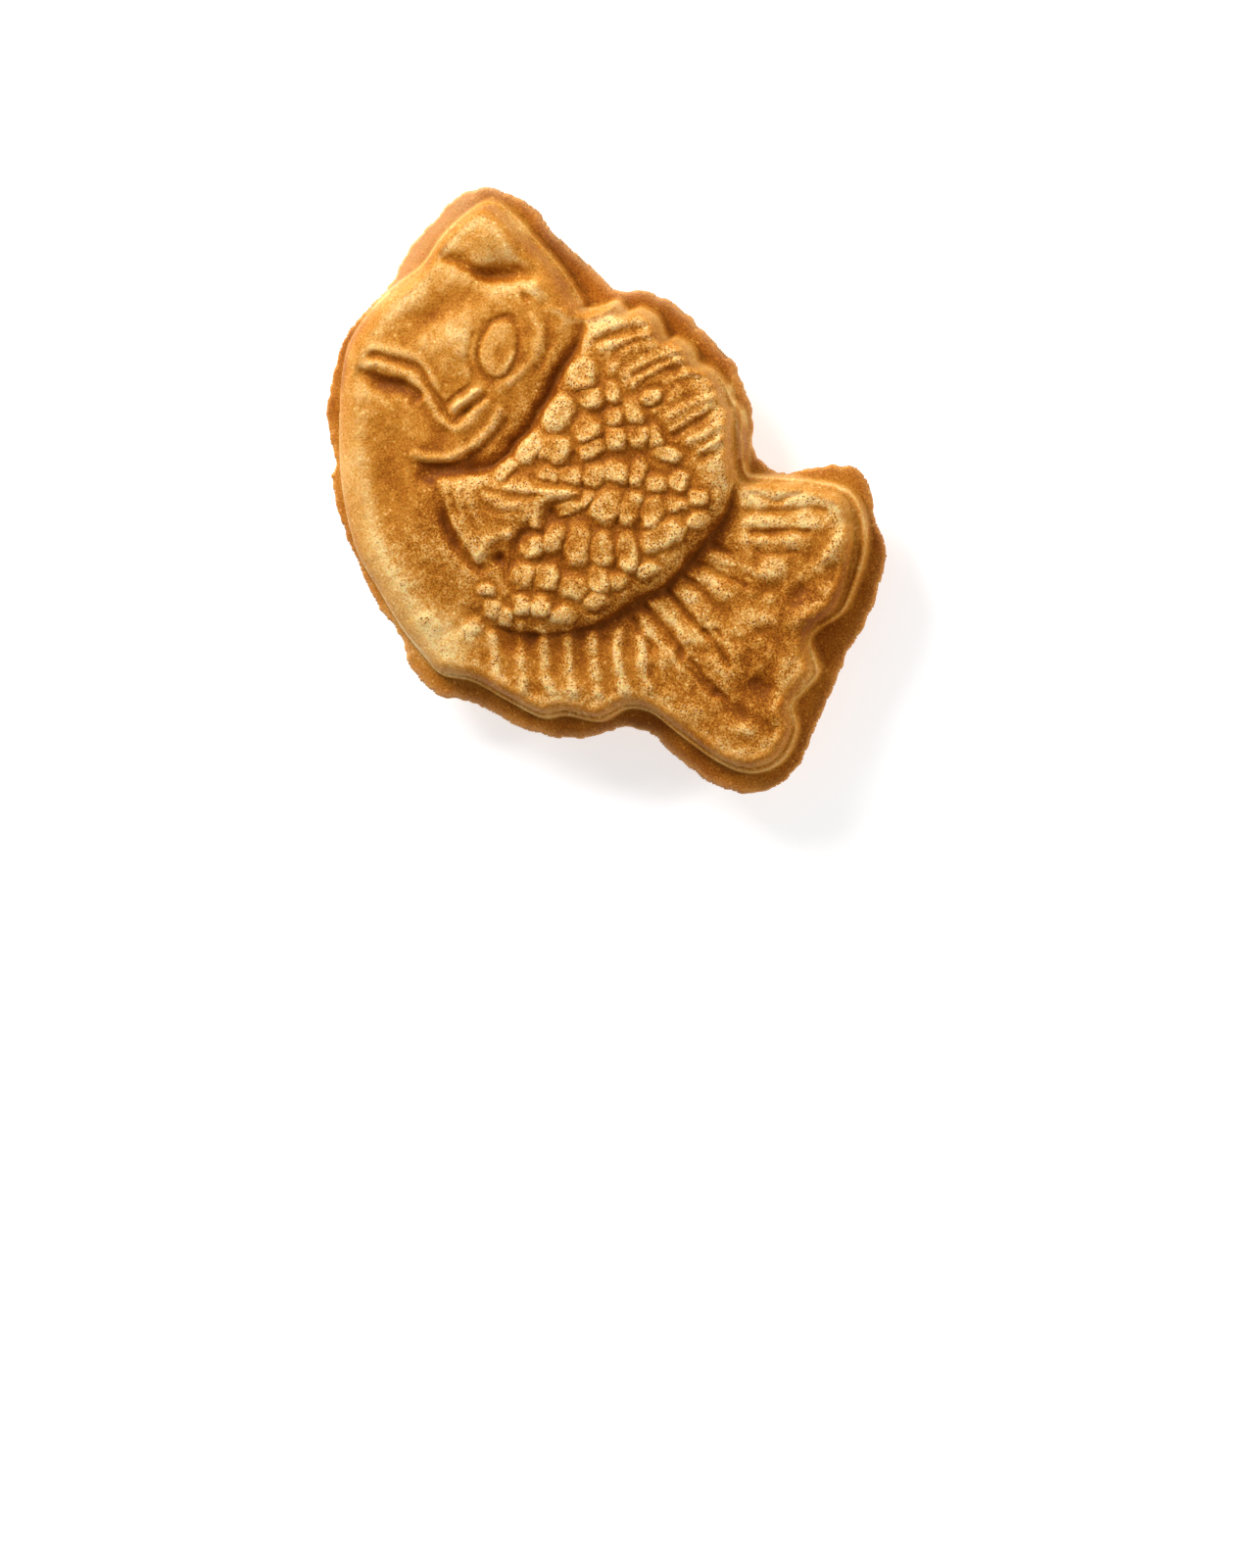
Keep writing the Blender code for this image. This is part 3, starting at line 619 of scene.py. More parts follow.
@dataclass(frozen=True)
class SideFin:
    """The leaf-shaped fin that lies on the trunk."""

    outline: tuple = (
        (442, 489), (470, 486), (500, 487), (530, 492), (560, 495), (590, 500), (584, 510), (562, 516),
        (556, 530), (552, 541), (538, 538), (526, 549), (512, 552), (498, 566), (488, 580), (472, 566),
        (458, 542), (449, 518),
    )
    rise: float = 0.65
    rounding: float = 9.5
    presses: tuple[Press, ...] = (
        Press(-0.26, 4, 4, (
            ((486, 491), (503, 501), (526, 505), (552, 506)),
            ((486, 500), (494, 514), (512, 522), (532, 520)),
            ((470, 498), (476, 520), (488, 546)), ((458, 500), (466, 526), (478, 548)),
        )),
        Press(-0.75, 7, 6, (((448, 518), (456, 542), (468, 562), (482, 578), (496, 588)),)),
        Press(-1.0, 6, 7, (((502, 576), (514, 564)), ((528, 556), (538, 548)), ((559, 528), (570, 519)))),
        Press(0.45, 7, 5, (((484, 486), (506, 490), (530, 496), (560, 499), (588, 503)),)),
        Press(0.26, 5, 5, (
            ((494, 506), (510, 514), (534, 516)), ((466, 494), (472, 520)), ((478, 510), (490, 540)),
        )),
        Press(0.6, 4.5, 4.5, (((490, 566), (500, 560)), ((512, 548), (522, 546)), ((540, 534), (553, 538)))),
    )

    def relief(self, plan: np.ndarray) -> np.ndarray:
        """Raise the fin and press its lines.

        Args:
            plan: Points in plan.

        Returns:
            The height that they add at each.
        """
        path = Path(curve_through(SIGHT.in_plan(self.outline, Level.TRUNK.value), closed=True))
        total = self.rise * ramp(path.depth(plan) / self.rounding)
        return total + sum(press.relief(plan, Level.TRUNK) for press in self.presses)


@dataclass(frozen=True)
class RibbedFin:
    """A fin or a tail: grooves and ridges on one level."""

    level: Level
    presses: tuple[Press, ...]

    def relief(self, plan: np.ndarray) -> np.ndarray:
        """The height that the ribs add at each point."""
        return sum(press.relief(plan, self.level) for press in self.presses)


BACK_FIN = RibbedFin(Level.FIN, (
    # The valleys between the ribs
    Press(-0.42, 4, 4, (
        ((606, 331), (620, 324), (640, 320)), ((606, 350), (632, 339), (656, 334), (672, 325)),
        ((628, 360), (650, 350), (682, 344)), ((633, 371), (652, 364), (676, 352), (698, 350)),
        ((646, 382), (668, 372), (690, 365), (712, 361)), ((650, 396), (664, 386), (692, 374), (724, 374)),
        ((662, 402), (684, 392), (702, 386), (736, 386)), ((668, 416), (690, 408), (716, 396), (742, 398)),
        ((684, 445), (706, 432), (728, 418), (746, 414)), ((712, 470), (732, 460), (750, 452)),
    )),
    # The ribs
    Press(0.42, 4.5, 4.5, (
        ((602, 322), (617, 315), (636, 311)), ((603, 342), (625, 332), (648, 328), (673, 327)),
        ((612, 356), (628, 351), (650, 344), (676, 337)), ((630, 360), (654, 352), (684, 346)),
        ((622, 378), (636, 370), (654, 363), (676, 352), (692, 351)),
        ((638, 384), (651, 376), (674, 364), (697, 359), (709, 358)),
        ((644, 393), (660, 385), (678, 373), (696, 367), (717, 368)),
        ((655, 408), (672, 399), (692, 387), (712, 378), (728, 382)),
        ((666, 419), (684, 409), (698, 403), (716, 396), (735, 390)),
        ((674, 431), (688, 422), (704, 413), (724, 405), (744, 406)),
        ((702, 452), (718, 443), (734, 434), (750, 430)),
    )),
    Press(0.38, 3, 3, (((684, 440), (706, 426), (726, 412)), ((714, 461), (728, 453), (741, 445)))),
    # The lumps that the ribs end in
    Press(0.6, 7, 7, (((630, 313), (636, 318)), ((664, 325), (674, 335)), ((692, 350), (702, 358)),
                      ((714, 370), (723, 377)), ((733, 388), (741, 402)), ((748, 420), (750, 436)))),
))

TAIL = RibbedFin(Level.TAIL, (
    Press(-0.5, 3, 3, (
        ((762, 503), (776, 508), (790, 512), (805, 509), (822, 502)),
        ((760, 519), (782, 521), (806, 522), (834, 519), (846, 522)),
        ((763, 543), (790, 542), (812, 541), (828, 542)), ((769, 561), (784, 565), (800, 565), (815, 563)),
        ((725, 556), (738, 561), (750, 564)), ((707, 574), (724, 581), (740, 589), (763, 599)),
        ((695, 588), (710, 598), (722, 608), (736, 622)), ((677, 598), (690, 612), (704, 629), (724, 652)),
        ((657, 616), (672, 634), (684, 649), (699, 671)), ((644, 630), (656, 648), (668, 665)),
        ((688, 663), (708, 688), (731, 711)), ((702, 670), (722, 694), (742, 715)),
        ((716, 640), (732, 660), (746, 684)), ((728, 640), (738, 654)), ((866, 528), (869, 566), (862, 596)),
    )),
    Press(-0.65, 12, 12, (
        ((838, 552), (828, 570), (812, 584)), ((858, 566), (846, 590), (822, 604), (800, 612)),
        ((818, 654), (810, 648)), ((764, 690), (776, 702), (792, 708)), ((748, 722), (766, 728)),
    )),
    Press(0.32, 5, 5, (
        ((803, 513), (824, 508), (842, 508), (855, 515), (857, 526)),
        ((852, 529), (836, 535), (806, 534), (778, 531), (752, 534)),
        ((748, 551), (768, 551), (790, 552), (812, 552)), ((718, 566), (740, 572), (762, 580), (780, 590)),
        ((700, 583), (722, 595), (746, 610)), ((686, 596), (702, 612), (720, 634)),
        ((666, 610), (684, 632), (704, 658)), ((650, 624), (668, 648), (690, 678)),
        ((722, 632), (740, 652), (752, 676)),
    )),
    Press(0.75, 10, 10, (
        ((862, 540), (852, 560), (836, 576)), ((806, 574), (790, 582), (772, 584)),
        ((834, 612), (820, 628), (800, 634)), ((770, 622), (784, 640)), ((790, 668), (806, 684)),
        ((800, 712), (800, 730)), ((750, 742), (774, 752)), ((730, 676), (748, 690)),
    )),
))

BELLY_FIN = RibbedFin(Level.TAIL, (
    Press(0.6, 6, 6, tuple(((x, 640), (x + 2, 676), (x + 6, 712)) for x in range(505, 660, 25))),
    Press(0.7, 12, 12, (((428, 640), (452, 632)), ((470, 655), (490, 640)))),
))


@dataclass(frozen=True)
class Face:
    """One moulded face of the cake, from the rim to the crown."""

    outlines: Outlines = Outlines()
    trunk: Trunk = Trunk()
    scales: ScaleCoat = ScaleCoat()
    head: Head = Head()
    side_fin: SideFin = SideFin()
    crack: float = 0.3
    crack_width: float = 1.4
    cracked_from: float = 5.0
    cracked_blend: float = 3.0
    belly_start: float = 550.0
    belly_blend: float = 80.0
    waves: tuple[Unevenness, ...] = (
        Unevenness(60, 0.16, 11), Unevenness(22, 0.12, 12), Unevenness(9, 0.08, 13), Unevenness(4, 0.045, 14),
    )
    waves_on_rim: float = 0.4
    back_waves: tuple[float, float] = (511, 307)
    tremble: tuple[Unevenness, Unevenness] = (Unevenness(14, 1.6, 41), Unevenness(14, 1.6, 42))
    strength: Unevenness = Unevenness(13, 0.35, 43)
    lumps: tuple[Unevenness, ...] = (
        Unevenness(24, 0.28, 44), Unevenness(11, 0.18, 45), Unevenness(6, 0.08, 46),
    )

    def crown(self, plan: np.ndarray) -> np.ndarray:
        """Work out the height of the face itself, inside its shoulders.

        Args:
            plan: Points in plan.

        Returns:
            The height of each above the seam.
        """
        at_belly = ramp((self.belly_start - plan[:, 0]) / self.belly_blend)
        depth = self.outlines.trunk_path().depth(plan)
        trunk = shoulder(depth / self.outlines.trunk_rounding) * (1 - at_belly) + at_belly * ramp(
            0.5 + depth / self.outlines.belly_rounding)
        height = Level.TAIL.value + (self.trunk.height(plan) - Level.TAIL.value) * trunk
        lumps = sum(wave.at(plan) for wave in self.lumps)
        height = height + trunk * self.scales.relief(plan) + (1 - trunk) * (1 - at_belly) * lumps
        drawn = plan + np.stack([wave.at(plan) for wave in self.tremble], axis=1)
        pressed = sum(part.relief(drawn) for part in (self.side_fin, BACK_FIN, TAIL, BELLY_FIN))
        height = height + self.head.relief(drawn) + pressed * (1 + self.strength.at(plan))
        return height + BELLY_GROOVE.relief(plan, Level.TRUNK)

    def height(self, plan: np.ndarray, rim: Path, ledge: Path, side: Side) -> np.ndarray:
        """Work out the whole profile: rim, wall, ledge, shoulder and crown.

        Args:
            plan: Points in plan.
            rim: The rim's outer edge.
            ledge: The ledge's outer edge.
            side: Which face, as the two are baked from one mould but set a little differently.

        Returns:
            The height of each point above the seam.
        """
        to_ledge, along = ledge.depth(plan), ledge.nearest(plan)[1]
        wall = ramp((to_ledge + self.outlines.wall_width) / self.outlines.wall_width)
        ledge_width, shoulder_width = self.outlines.widths(along, ledge)
        face = shoulder((to_ledge - ledge_width) / shoulder_width)
        on_crack = np.exp(-(((to_ledge - 0.5 * ledge_width) / self.crack_width) ** 2))
        crack = self.crack * on_crack * ramp((ledge_width - self.cracked_from) / self.cracked_blend)
        height = Level.RIM.value + (Level.LEDGE.value - Level.RIM.value) * wall - crack
        height = height + (self.crown(plan) - Level.LEDGE.value) * face
        waved = plan if side is Side.FRONT else plan + self.back_waves
        share = self.waves_on_rim + (1 - self.waves_on_rim) * face
        height = height + sum(wave.at(waved) for wave in self.waves) * share
        return height * shoulder(rim.depth(plan) / self.outlines.rim_rounding)


@dataclass(frozen=True)
class Lie:
    """How the plan lies in the frame: the fish along X, its seam level, its box on the CAD's box."""

    middle: tuple[float, float]
    box_middle: tuple[float, float]
    seam: float = 9.8 * MM
    turn: float = math.radians(41)

    def turned(self, x: np.ndarray, y: np.ndarray) -> tuple[np.ndarray, np.ndarray]:
        """A direction in plan, as X and Y of the frame."""
        c, s = math.cos(self.turn), math.sin(self.turn)
        return x * c + y * s, x * s - y * c

    def place(self, plan: np.ndarray, height: np.ndarray) -> np.ndarray:
        """Take points from the plan to the frame.

        Args:
            plan: Their places in plan.
            height: Their heights above the seam, in millimetres.

        Returns:
            Their places in the frame, in metres.
        """
        x, y = self.turned(*(plan - self.middle).T)
        middle_x, middle_y = self.box_middle
        return np.stack([x * UNIT + middle_x, y * UNIT + middle_y, height * MM + self.seam], axis=1)

    def plan_of(self, x: np.ndarray, y: np.ndarray) -> np.ndarray:
        """Places in plan, from X and Y of the frame."""
        along, across = self.turned((x - self.box_middle[0]) / UNIT, (y - self.box_middle[1]) / UNIT)
        return np.stack([along, across], axis=1) + self.middle

    @classmethod
    def over(cls, outline: np.ndarray, low: Vector, high: Vector) -> "Lie":
        """Lay an outline so that its box has the same middle as another box.

        Args:
            outline: Points in plan.
            low: The other box's lowest corner.
            high: Its highest corner.

        Returns:
            The lie.
        """
        flat = cls((0, 0), (0, 0))
        along, across = flat.turned(*outline.T)
        centre = ((along.min() + along.max()) / 2, (across.min() + across.max()) / 2)
        middle = flat.turned(np.array([centre[0]]), np.array([centre[1]]))
        box_middle = ((low.x + high.x) / 2, (low.y + high.y) / 2)
        return cls((float(middle[0][0]), float(middle[1][0])), box_middle)


@dataclass(frozen=True)
class Wash:
    """A lighter or browner stretch of crust, along lines in the picture: some are the crust's own tone,
    others painted light and painted shade.
    """

    change: float
    width: float
    lines: tuple
    level: Level = Level.TRUNK

    def at(self, plan: np.ndarray) -> np.ndarray:
        """The change in browning at each point."""
        return Press(self.change, self.width, self.width, self.lines).relief(plan, self.level)


@dataclass(frozen=True)
class Survey:
    """Where the points of the crust lie: in plan, below their surroundings, and inside each edge.

    A hollow's depth is in millimetres, below 0 on a crest, against its close and its wider surroundings.
    """

    plan: np.ndarray
    hollow: np.ndarray
    wide_hollow: np.ndarray
    to_rim: np.ndarray
    to_ledge: np.ndarray
    to_face: np.ndarray
    rim_end: float = 2.0
    rim_blend: float = 4.0

    def on_rim(self) -> np.ndarray:
        """1 on the rim and 0 inside it."""
        return 1 - ramp((self.to_ledge + self.rim_end) / self.rim_blend)

    def on_face(self, blend: float) -> np.ndarray:
        """1 on the face and 0 outside its shoulder, with an edge as wide as the blend."""
        return ramp(self.to_face / blend + 0.5)


@dataclass(frozen=True)
class BrowningAndPaintedLight:
    """How brown the crust is, from 0 for pale batter to 1 for the darkest crease, with painted light and
    painted shade mixed in.

    The fine and the broad effect of the relief each hold how much browner a hollow is, how much paler a crest
    is, and the depth that it takes. A browner hollow is partly deeper baking and partly painted shade.
    """

    plain: float = 0.56
    fine: tuple[float, float, float] = (0.22, 0.4, 0.28)
    broad: tuple[float, float, float] = (0.25, 0.02, 0.5)
    # The rim's tone by x: browner to the right partly from baking and partly as painted shadow cast by the
    # raised body, darkest as painted shade in the corner between head and back fin
    rim_places: tuple[float, ...] = (340, 420, 560, 700, 900)
    rim_tones_and_painted_shadow: tuple[float, ...] = (0.62, 0.58, 0.72, 0.7, 0.69)
    # A paler line along the ledge's edge: partly the under-baked bead and partly painted light that lifts the
    # wall's foot out of its shade
    pale_edge_and_painted_light: float = -0.34
    pale_edge_and_painted_light_width: float = 2.2
    fringe: float = -0.12
    fringe_width: float = 4.0
    face_blend: float = 12.0
    washes_and_painted_light: tuple[Wash, ...] = (
        # Painted light: paler along the left shoulder, which faces the key light
        Wash(-0.2, 15, (((366, 350), (356, 430), (360, 500), (384, 570), (410, 615), (440, 650)),)),
        Wash(-0.34, 30, (((446, 345), (485, 325)),)),
        # Painted light: paler on the head's upper left, which faces the key light
        Wash(-0.18, 18, (((392, 330), (412, 300), (440, 285)),)),
        Wash(-0.04, 26, (((470, 245), (505, 235), (525, 255)),)),
        Wash(-0.26, 14, (((380, 316), (408, 275), (438, 233), (466, 205)),), Level.RIM),
        # Painted shade: browner along the left ledge edge to dim the key light's highlight there
        Wash(0.22, 5, (((348, 400), (352, 375), (361, 342), (394, 301), (426, 274)),), Level.LEDGE),
        # Painted shade: browner in the concave band beside the belly groove
        Wash(0.2, 26, (((426, 440), (440, 500), (458, 560)),)),
        # Painted shadow: browner along the gill cover's edge, where it steps down away from the light
        Wash(0.03, 18, (((585, 320), (578, 350), (550, 400), (520, 440), (470, 474)),)),
        Wash(0.06, 50, (((620, 420), (650, 500), (600, 570)), ((500, 520), (540, 530)))),
        # Painted shade: browner on the head's right shoulder, which slopes away from the light
        Wash(0.22, 13, (((532, 224), (552, 248), (572, 276), (590, 306)),)),
        Wash(0.12, 26, (((715, 430), (735, 460)),), Level.FIN),
        Wash(0.16, 28, (((630, 335), (668, 352), (700, 380), (722, 415)),), Level.FIN),
        # Fine pale and brown lines along the layered edge
        Wash(-0.35, 2.2, (((738, 392), (744, 412), (748, 440), (750, 470)),
                          ((752, 418), (757, 445), (758, 475)))),
        Wash(0.25, 2.2, (((741, 400), (748, 424), (753, 448), (754, 474)),)),
        Wash(-0.07, 11, (((448, 260), (472, 262), (494, 270), (520, 267), (544, 273)),)),
        # Painted shade: browner in the shallow valley that runs from the fold to the cheek
        Wash(0.03, 11, (((490, 298), (468, 306), (440, 320), (420, 334)),)),
        # Painted shadow: browner under the lower lip
        Wash(0.2, 8, (((372, 378), (392, 385), (416, 388)),)),
        Wash(-0.16, 22, (((378, 530), (398, 575), (420, 600)),)),
        # Pale batter at the low belly, painted paler still as painted light against the shade it lies in
        Wash(-0.62, 34, (((420, 635), (450, 648), (485, 655)),), Level.TAIL),
        # Painted shadow: browner along the trunk's lower edge, where it steps down away from the light
        Wash(0.32, 13, (((744, 500), (738, 520), (720, 546), (700, 568), (676, 594), (646, 610), (615, 629),
                        (580, 640)),)),
        Wash(0.18, 13, (((568, 642), (540, 644), (505, 636)),)),
        Wash(0.16, 40, (((735, 690), (790, 660), (850, 590)), ((760, 750), (700, 720))), Level.TAIL),
        Wash(-0.35, 18, (((745, 512), (790, 506)), ((740, 538), (765, 534)),
                         ((800, 528), (840, 518))), Level.TAIL),
        Wash(-0.26, 9, (((712, 572), (745, 590)), ((690, 590), (715, 620)), ((668, 608), (690, 640)),
                        ((650, 628), (668, 655))), Level.TAIL),
        Wash(0.2, 24, (((868, 560), (850, 600), (815, 640)), ((770, 700), (800, 740))), Level.TAIL),
    )
    mottle: tuple[Unevenness, ...] = (Unevenness(70, 0.07, 21), Unevenness(18, 0.06, 22))

    def by_relief(self, hollow: np.ndarray, effect: tuple[float, float, float]) -> np.ndarray:
        """Browner in hollows and paler on crests, by the strength of each and the depth that they need."""
        return np.where(hollow > 0, effect[0], effect[1]) * np.tanh(hollow / effect[2])

    def at(self, points: Survey) -> np.ndarray:
        """Work out how brown the crust is, with its painted light and painted shade.

        Args:
            points: Where its points lie.

        Returns:
            The browning, with painted light and shade, at each.
        """
        # Hollows turn browner, partly as deeper baking and partly as painted shade in the creases
        relief = self.by_relief(points.hollow, self.fine) + self.by_relief(points.wide_hollow, self.broad)
        # The rim takes its tone by x, painted shadow included
        rim = np.interp(points.plan[:, 0], self.rim_places, self.rim_tones_and_painted_shadow) - self.plain
        total = self.plain + relief * points.on_face(self.face_blend) + rim * points.on_rim()
        # Paler along the ledge's edge, partly as painted light
        total = total + self.pale_edge_and_painted_light * np.exp(-((points.to_ledge / self.pale_edge_and_painted_light_width) ** 2))
        total = total + self.fringe * np.exp(-((points.to_rim / self.fringe_width) ** 2))
        for layer in self.washes_and_painted_light + self.mottle:
            total = total + layer.at(points.plan)
        return np.clip(total, 0, 1)


@dataclass(frozen=True)
class Crumb:
    """How coarse the crust's grain is, and where its crests are open: most of all behind the gill cover."""

    gill: tuple[float, float] = (545, 400)
    gill_direction: tuple[float, float] = (0.73, 0.69)
    gill_blend: float = 40.0
    face_blend: float = 6.0
    coarse_to: float = 0.3
    coarse_blend: float = 0.4
    head_crest: float = 0.05
    crest_blend: float = 0.16
    head_pores: float = 0.5

    def behind_gill(self, points: Survey) -> np.ndarray:
        """0 on the head and 1 behind the gill cover."""
        return ramp((points.plan - self.gill) @ self.gill_direction / self.gill_blend + 0.5)

    def coarseness(self, points: Survey) -> np.ndarray:
        """0 where the grain is fine and 1 where it is coarse."""
        outside_hollows = ramp((self.coarse_to - points.hollow) / self.coarse_blend)
        return self.behind_gill(points) * points.on_face(self.face_blend) * outside_hollows

    def pores(self, points: Survey) -> np.ndarray:
        """Work out where the crust is open.

        Args:
            points: Where its points lie.

        Returns:
            For each: 0 where the crust is shut and 1 where it is open.
        """
        behind = self.behind_gill(points)
        crest = ramp((-points.hollow - self.head_crest * (1 - behind)) / self.crest_blend)
        return crest * points.on_face(self.face_blend) * (self.head_pores + (1 - self.head_pores) * behind)


@dataclass(frozen=True)
class ThinBatter:
    """Where the rim is so thin that it stayed pale: along its edge, and all over by the brow."""

    width: float = 6.0
    places: tuple[float, ...] = (340, 440, 560, 700, 800)
    shares: tuple[float, ...] = (0.15, 0.7, 0.55, 0.7, 0.2)
    by_brow: Wash = Wash(1.0, 18, (((390, 300), (410, 270), (436, 234), (466, 206), (492, 198)),), Level.RIM)

    def at(self, points: Survey) -> np.ndarray:
        """Work out how thin the batter is.

        Args:
            points: Where the crust's points lie.

        Returns:
            The thinness at each, from 0 to 1.
        """
        share = np.interp(points.plan[:, 0], self.places, self.shares)
        edge = share * np.exp(-((points.to_rim / self.width) ** 2))
        return np.clip(edge + self.by_brow.at(points.plan), 0, 1) * points.on_rim()


def softened(raster: np.ndarray, radius: float, radii_felt: float = 3.0) -> np.ndarray:
    """Blur a raster.

    Args:
        raster: Its values, in rows.
        radius: The blur's standard deviation, in cells.
        radii_felt: How many of them a cell is felt out to.

    Returns:
        The blurred raster.
    """
    reach = math.ceil(radii_felt * radius)
    kernel = np.exp(-((np.arange(-reach, reach + 1) / radius) ** 2) / 2)
    for axis in (0, 1):
        raster = np.apply_along_axis(np.convolve, axis, raster, kernel / kernel.sum(), mode="same")
    return raster


@dataclass
class Cake:
    """The whole cake: two moulded faces that meet at the seam, as one closed mesh.

    Points of its grid move onto an outline that passes within a share of a cell.
    """

    face: Face = Face()
    browning_and_painted_light: BrowningAndPaintedLight = BrowningAndPaintedLight()
    crumb: Crumb = Crumb()
    thin: ThinBatter = ThinBatter()
    cell: float = 1.7
    snap: float = 0.55
    shortest_edge: float = 0.05
    weld: float = 0.1 * UNIT
    triangles: int = 194_000
    lower_margin: float = 0.2 * MM
    lower_weight: float = 1000.0
    raster_cell: float = 1.5
    hollow_radii: tuple[float, float] = (8.5, 20.0)

    def __post_init__(self) -> None:
        """Draw the outlines in plan and lay them over the CAD node's box."""
        self.rim = self.face.outlines.rim_path()
        self.ledge = self.face.outlines.ledge_path()
        self.lie = Lie.over(self.rim.points, *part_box(NODE))

    def snapped(self, places: np.ndarray, outline: Path) -> tuple[np.ndarray, np.ndarray]:
        """Draw places that are close to an outline onto it.

        Args:
            places: Points in plan.
            outline: The outline.

        Returns:
            The places, some of them moved, and how deep inside the outline they were.
        """
        depths = outline.depth(places)
        on_outline = outline.nearest(places)[2]
        close = np.abs(depths)[:, None] < self.snap * self.cell
        return np.where(close, on_outline, places), depths

    def flat_half(self) -> bmesh.types.BMesh:
        """Cut a fine grid to the rim.

        Returns:
            The grid, flat and in plan, with its edge on the rim and a row of points on the ledge's edge.
        """
        low = self.rim.points.min(axis=0) - self.cell
        high = self.rim.points.max(axis=0) + self.cell
        columns, rows = np.ceil((high - low) / self.cell).astype(int)
        mesh = bmesh.new()
        bmesh.ops.create_grid(mesh, x_segments=columns, y_segments=rows, size=0.5)
        bmesh.ops.scale(mesh, vec=(columns * self.cell, rows * self.cell, 1), verts=mesh.verts)
        places = np.array([vert.co[:2] for vert in mesh.verts]) + (low + high) / 2
        places, _ = self.snapped(places, self.ledge)
        places, depths = self.snapped(places, self.rim)
        for vert, place in zip(mesh.verts, places):
            vert.co.xy = place
        outside = [vert for vert, depth in zip(mesh.verts, depths) if depth < -self.snap * self.cell]
        bmesh.ops.delete(mesh, geom=outside, context="VERTS")
        bmesh.ops.delete(mesh, geom=[vert for vert in mesh.verts if not vert.link_faces], context="VERTS")
        bmesh.ops.dissolve_degenerate(mesh, dist=self.shortest_edge * self.cell, edges=mesh.edges)
        bmesh.ops.triangulate(mesh, faces=mesh.faces)
        # An edge across a narrow tip would meet its mirror image, so it gets a point that stands off the seam
        across_tips = [
            edge for edge in mesh.edges
            if not edge.is_boundary and all(vert.is_boundary for vert in edge.verts)
        ]
        bmesh.ops.subdivide_edges(mesh, edges=across_tips, cuts=1)
        bmesh.ops.triangulate(mesh, faces=mesh.faces)
        return mesh

    def raise_half(self, verts: list, side: Side) -> None:
        """Give one half its relief and its place in the frame.

        Args:
            verts: The half's points, flat and in plan.
            side: Which half.
        """
        plan = np.array([vert.co[:2] for vert in verts])
        height = self.face.height(plan, self.rim, self.ledge, side) * side.value
        on_seam = np.array([vert.is_boundary for vert in verts])
        places = self.lie.place(plan, np.where(on_seam, 0, height))
        places[:, 2] = np.maximum(places[:, 2], 0)
        for vert, place in zip(verts, places):
            vert.co = place

    def closed_mesh(self) -> bpy.types.Mesh:
        """Join both halves at the seam.

        Returns:
            The closed mesh, with its faces outward.
        """
        mesh = self.flat_half()
        front = list(mesh.verts)
        copied = bmesh.ops.duplicate(mesh, geom=mesh.verts[:] + mesh.edges[:] + mesh.faces[:])["geom"]
        back = [item for item in copied if isinstance(item, bmesh.types.BMVert)]
        back_faces = [item for item in copied if isinstance(item, bmesh.types.BMFace)]
        seam = [vert for vert in mesh.verts if vert.is_boundary]
        self.raise_half(front, Side.FRONT)
        self.raise_half(back, Side.BACK)
        mesh.normal_update()
        if sum(face.normal.z for face in back_faces) > 0:
            bmesh.ops.reverse_faces(mesh, faces=back_faces)
        else:
            bmesh.ops.reverse_faces(mesh, faces=list(set(mesh.faces) - set(back_faces)))
        bmesh.ops.remove_doubles(mesh, verts=seam, dist=self.weld)
        made = bpy.data.meshes.new("crust")
        mesh.to_mesh(made)
        mesh.free()
        return made

    def thin_back(self, crust: bpy.types.Object) -> None:
        """Take triangles out of the lower face, whose weight is high, until the whole has as many as the
        cake's triangles field sets.

        Args:
            crust: The object that wears the closed mesh.
        """
        heights = np.array([vert.co.z for vert in crust.data.vertices])
        group = crust.vertex_groups.new(name="lower")
        lower = np.nonzero(heights < self.lie.seam - self.lower_margin)[0]
        group.add([int(index) for index in lower], 1, "REPLACE")
        thinning = crust.modifiers.new("thin the back", "DECIMATE")
        thinning.vertex_group = group.name
        thinning.vertex_group_factor = self.lower_weight
        thinning.ratio = self.triangles / len(crust.data.polygons)
        graph = bpy.context.evaluated_depsgraph_get()
        crust.data = bpy.data.meshes.new_from_object(crust.evaluated_get(graph))
        for vert in crust.data.vertices:
            vert.co.z = max(vert.co.z, 0)
        crust.modifiers.clear()
        crust.vertex_groups.clear()

    def hollows(self, plan: np.ndarray) -> tuple[np.ndarray, np.ndarray]:
        """Measure how far points lie below their surroundings.

        Args:
            plan: Points in plan.

        Returns:
            The depth at each below its close and its wider surroundings, in millimetres, below 0 on a crest.
        """
        low, high = self.rim.points.min(axis=0), self.rim.points.max(axis=0)
        across = np.arange(low[0], high[0], self.raster_cell)
        down = np.arange(low[1], high[1], self.raster_cell)
        places = np.stack(np.meshgrid(across, down), axis=2).reshape(-1, 2)
        height = self.face.height(places, self.rim, self.ledge, Side.FRONT)
        height = height.reshape(len(down), len(across))
        column = np.clip(np.rint((plan[:, 0] - low[0]) / self.raster_cell).astype(int), 0, len(across) - 1)
        row = np.clip(np.rint((plan[:, 1] - low[1]) / self.raster_cell).astype(int), 0, len(down) - 1)
        close, wide = (softened(height, radius / self.raster_cell) for radius in self.hollow_radii)
        return (close - height)[row, column], (wide - close)[row, column]

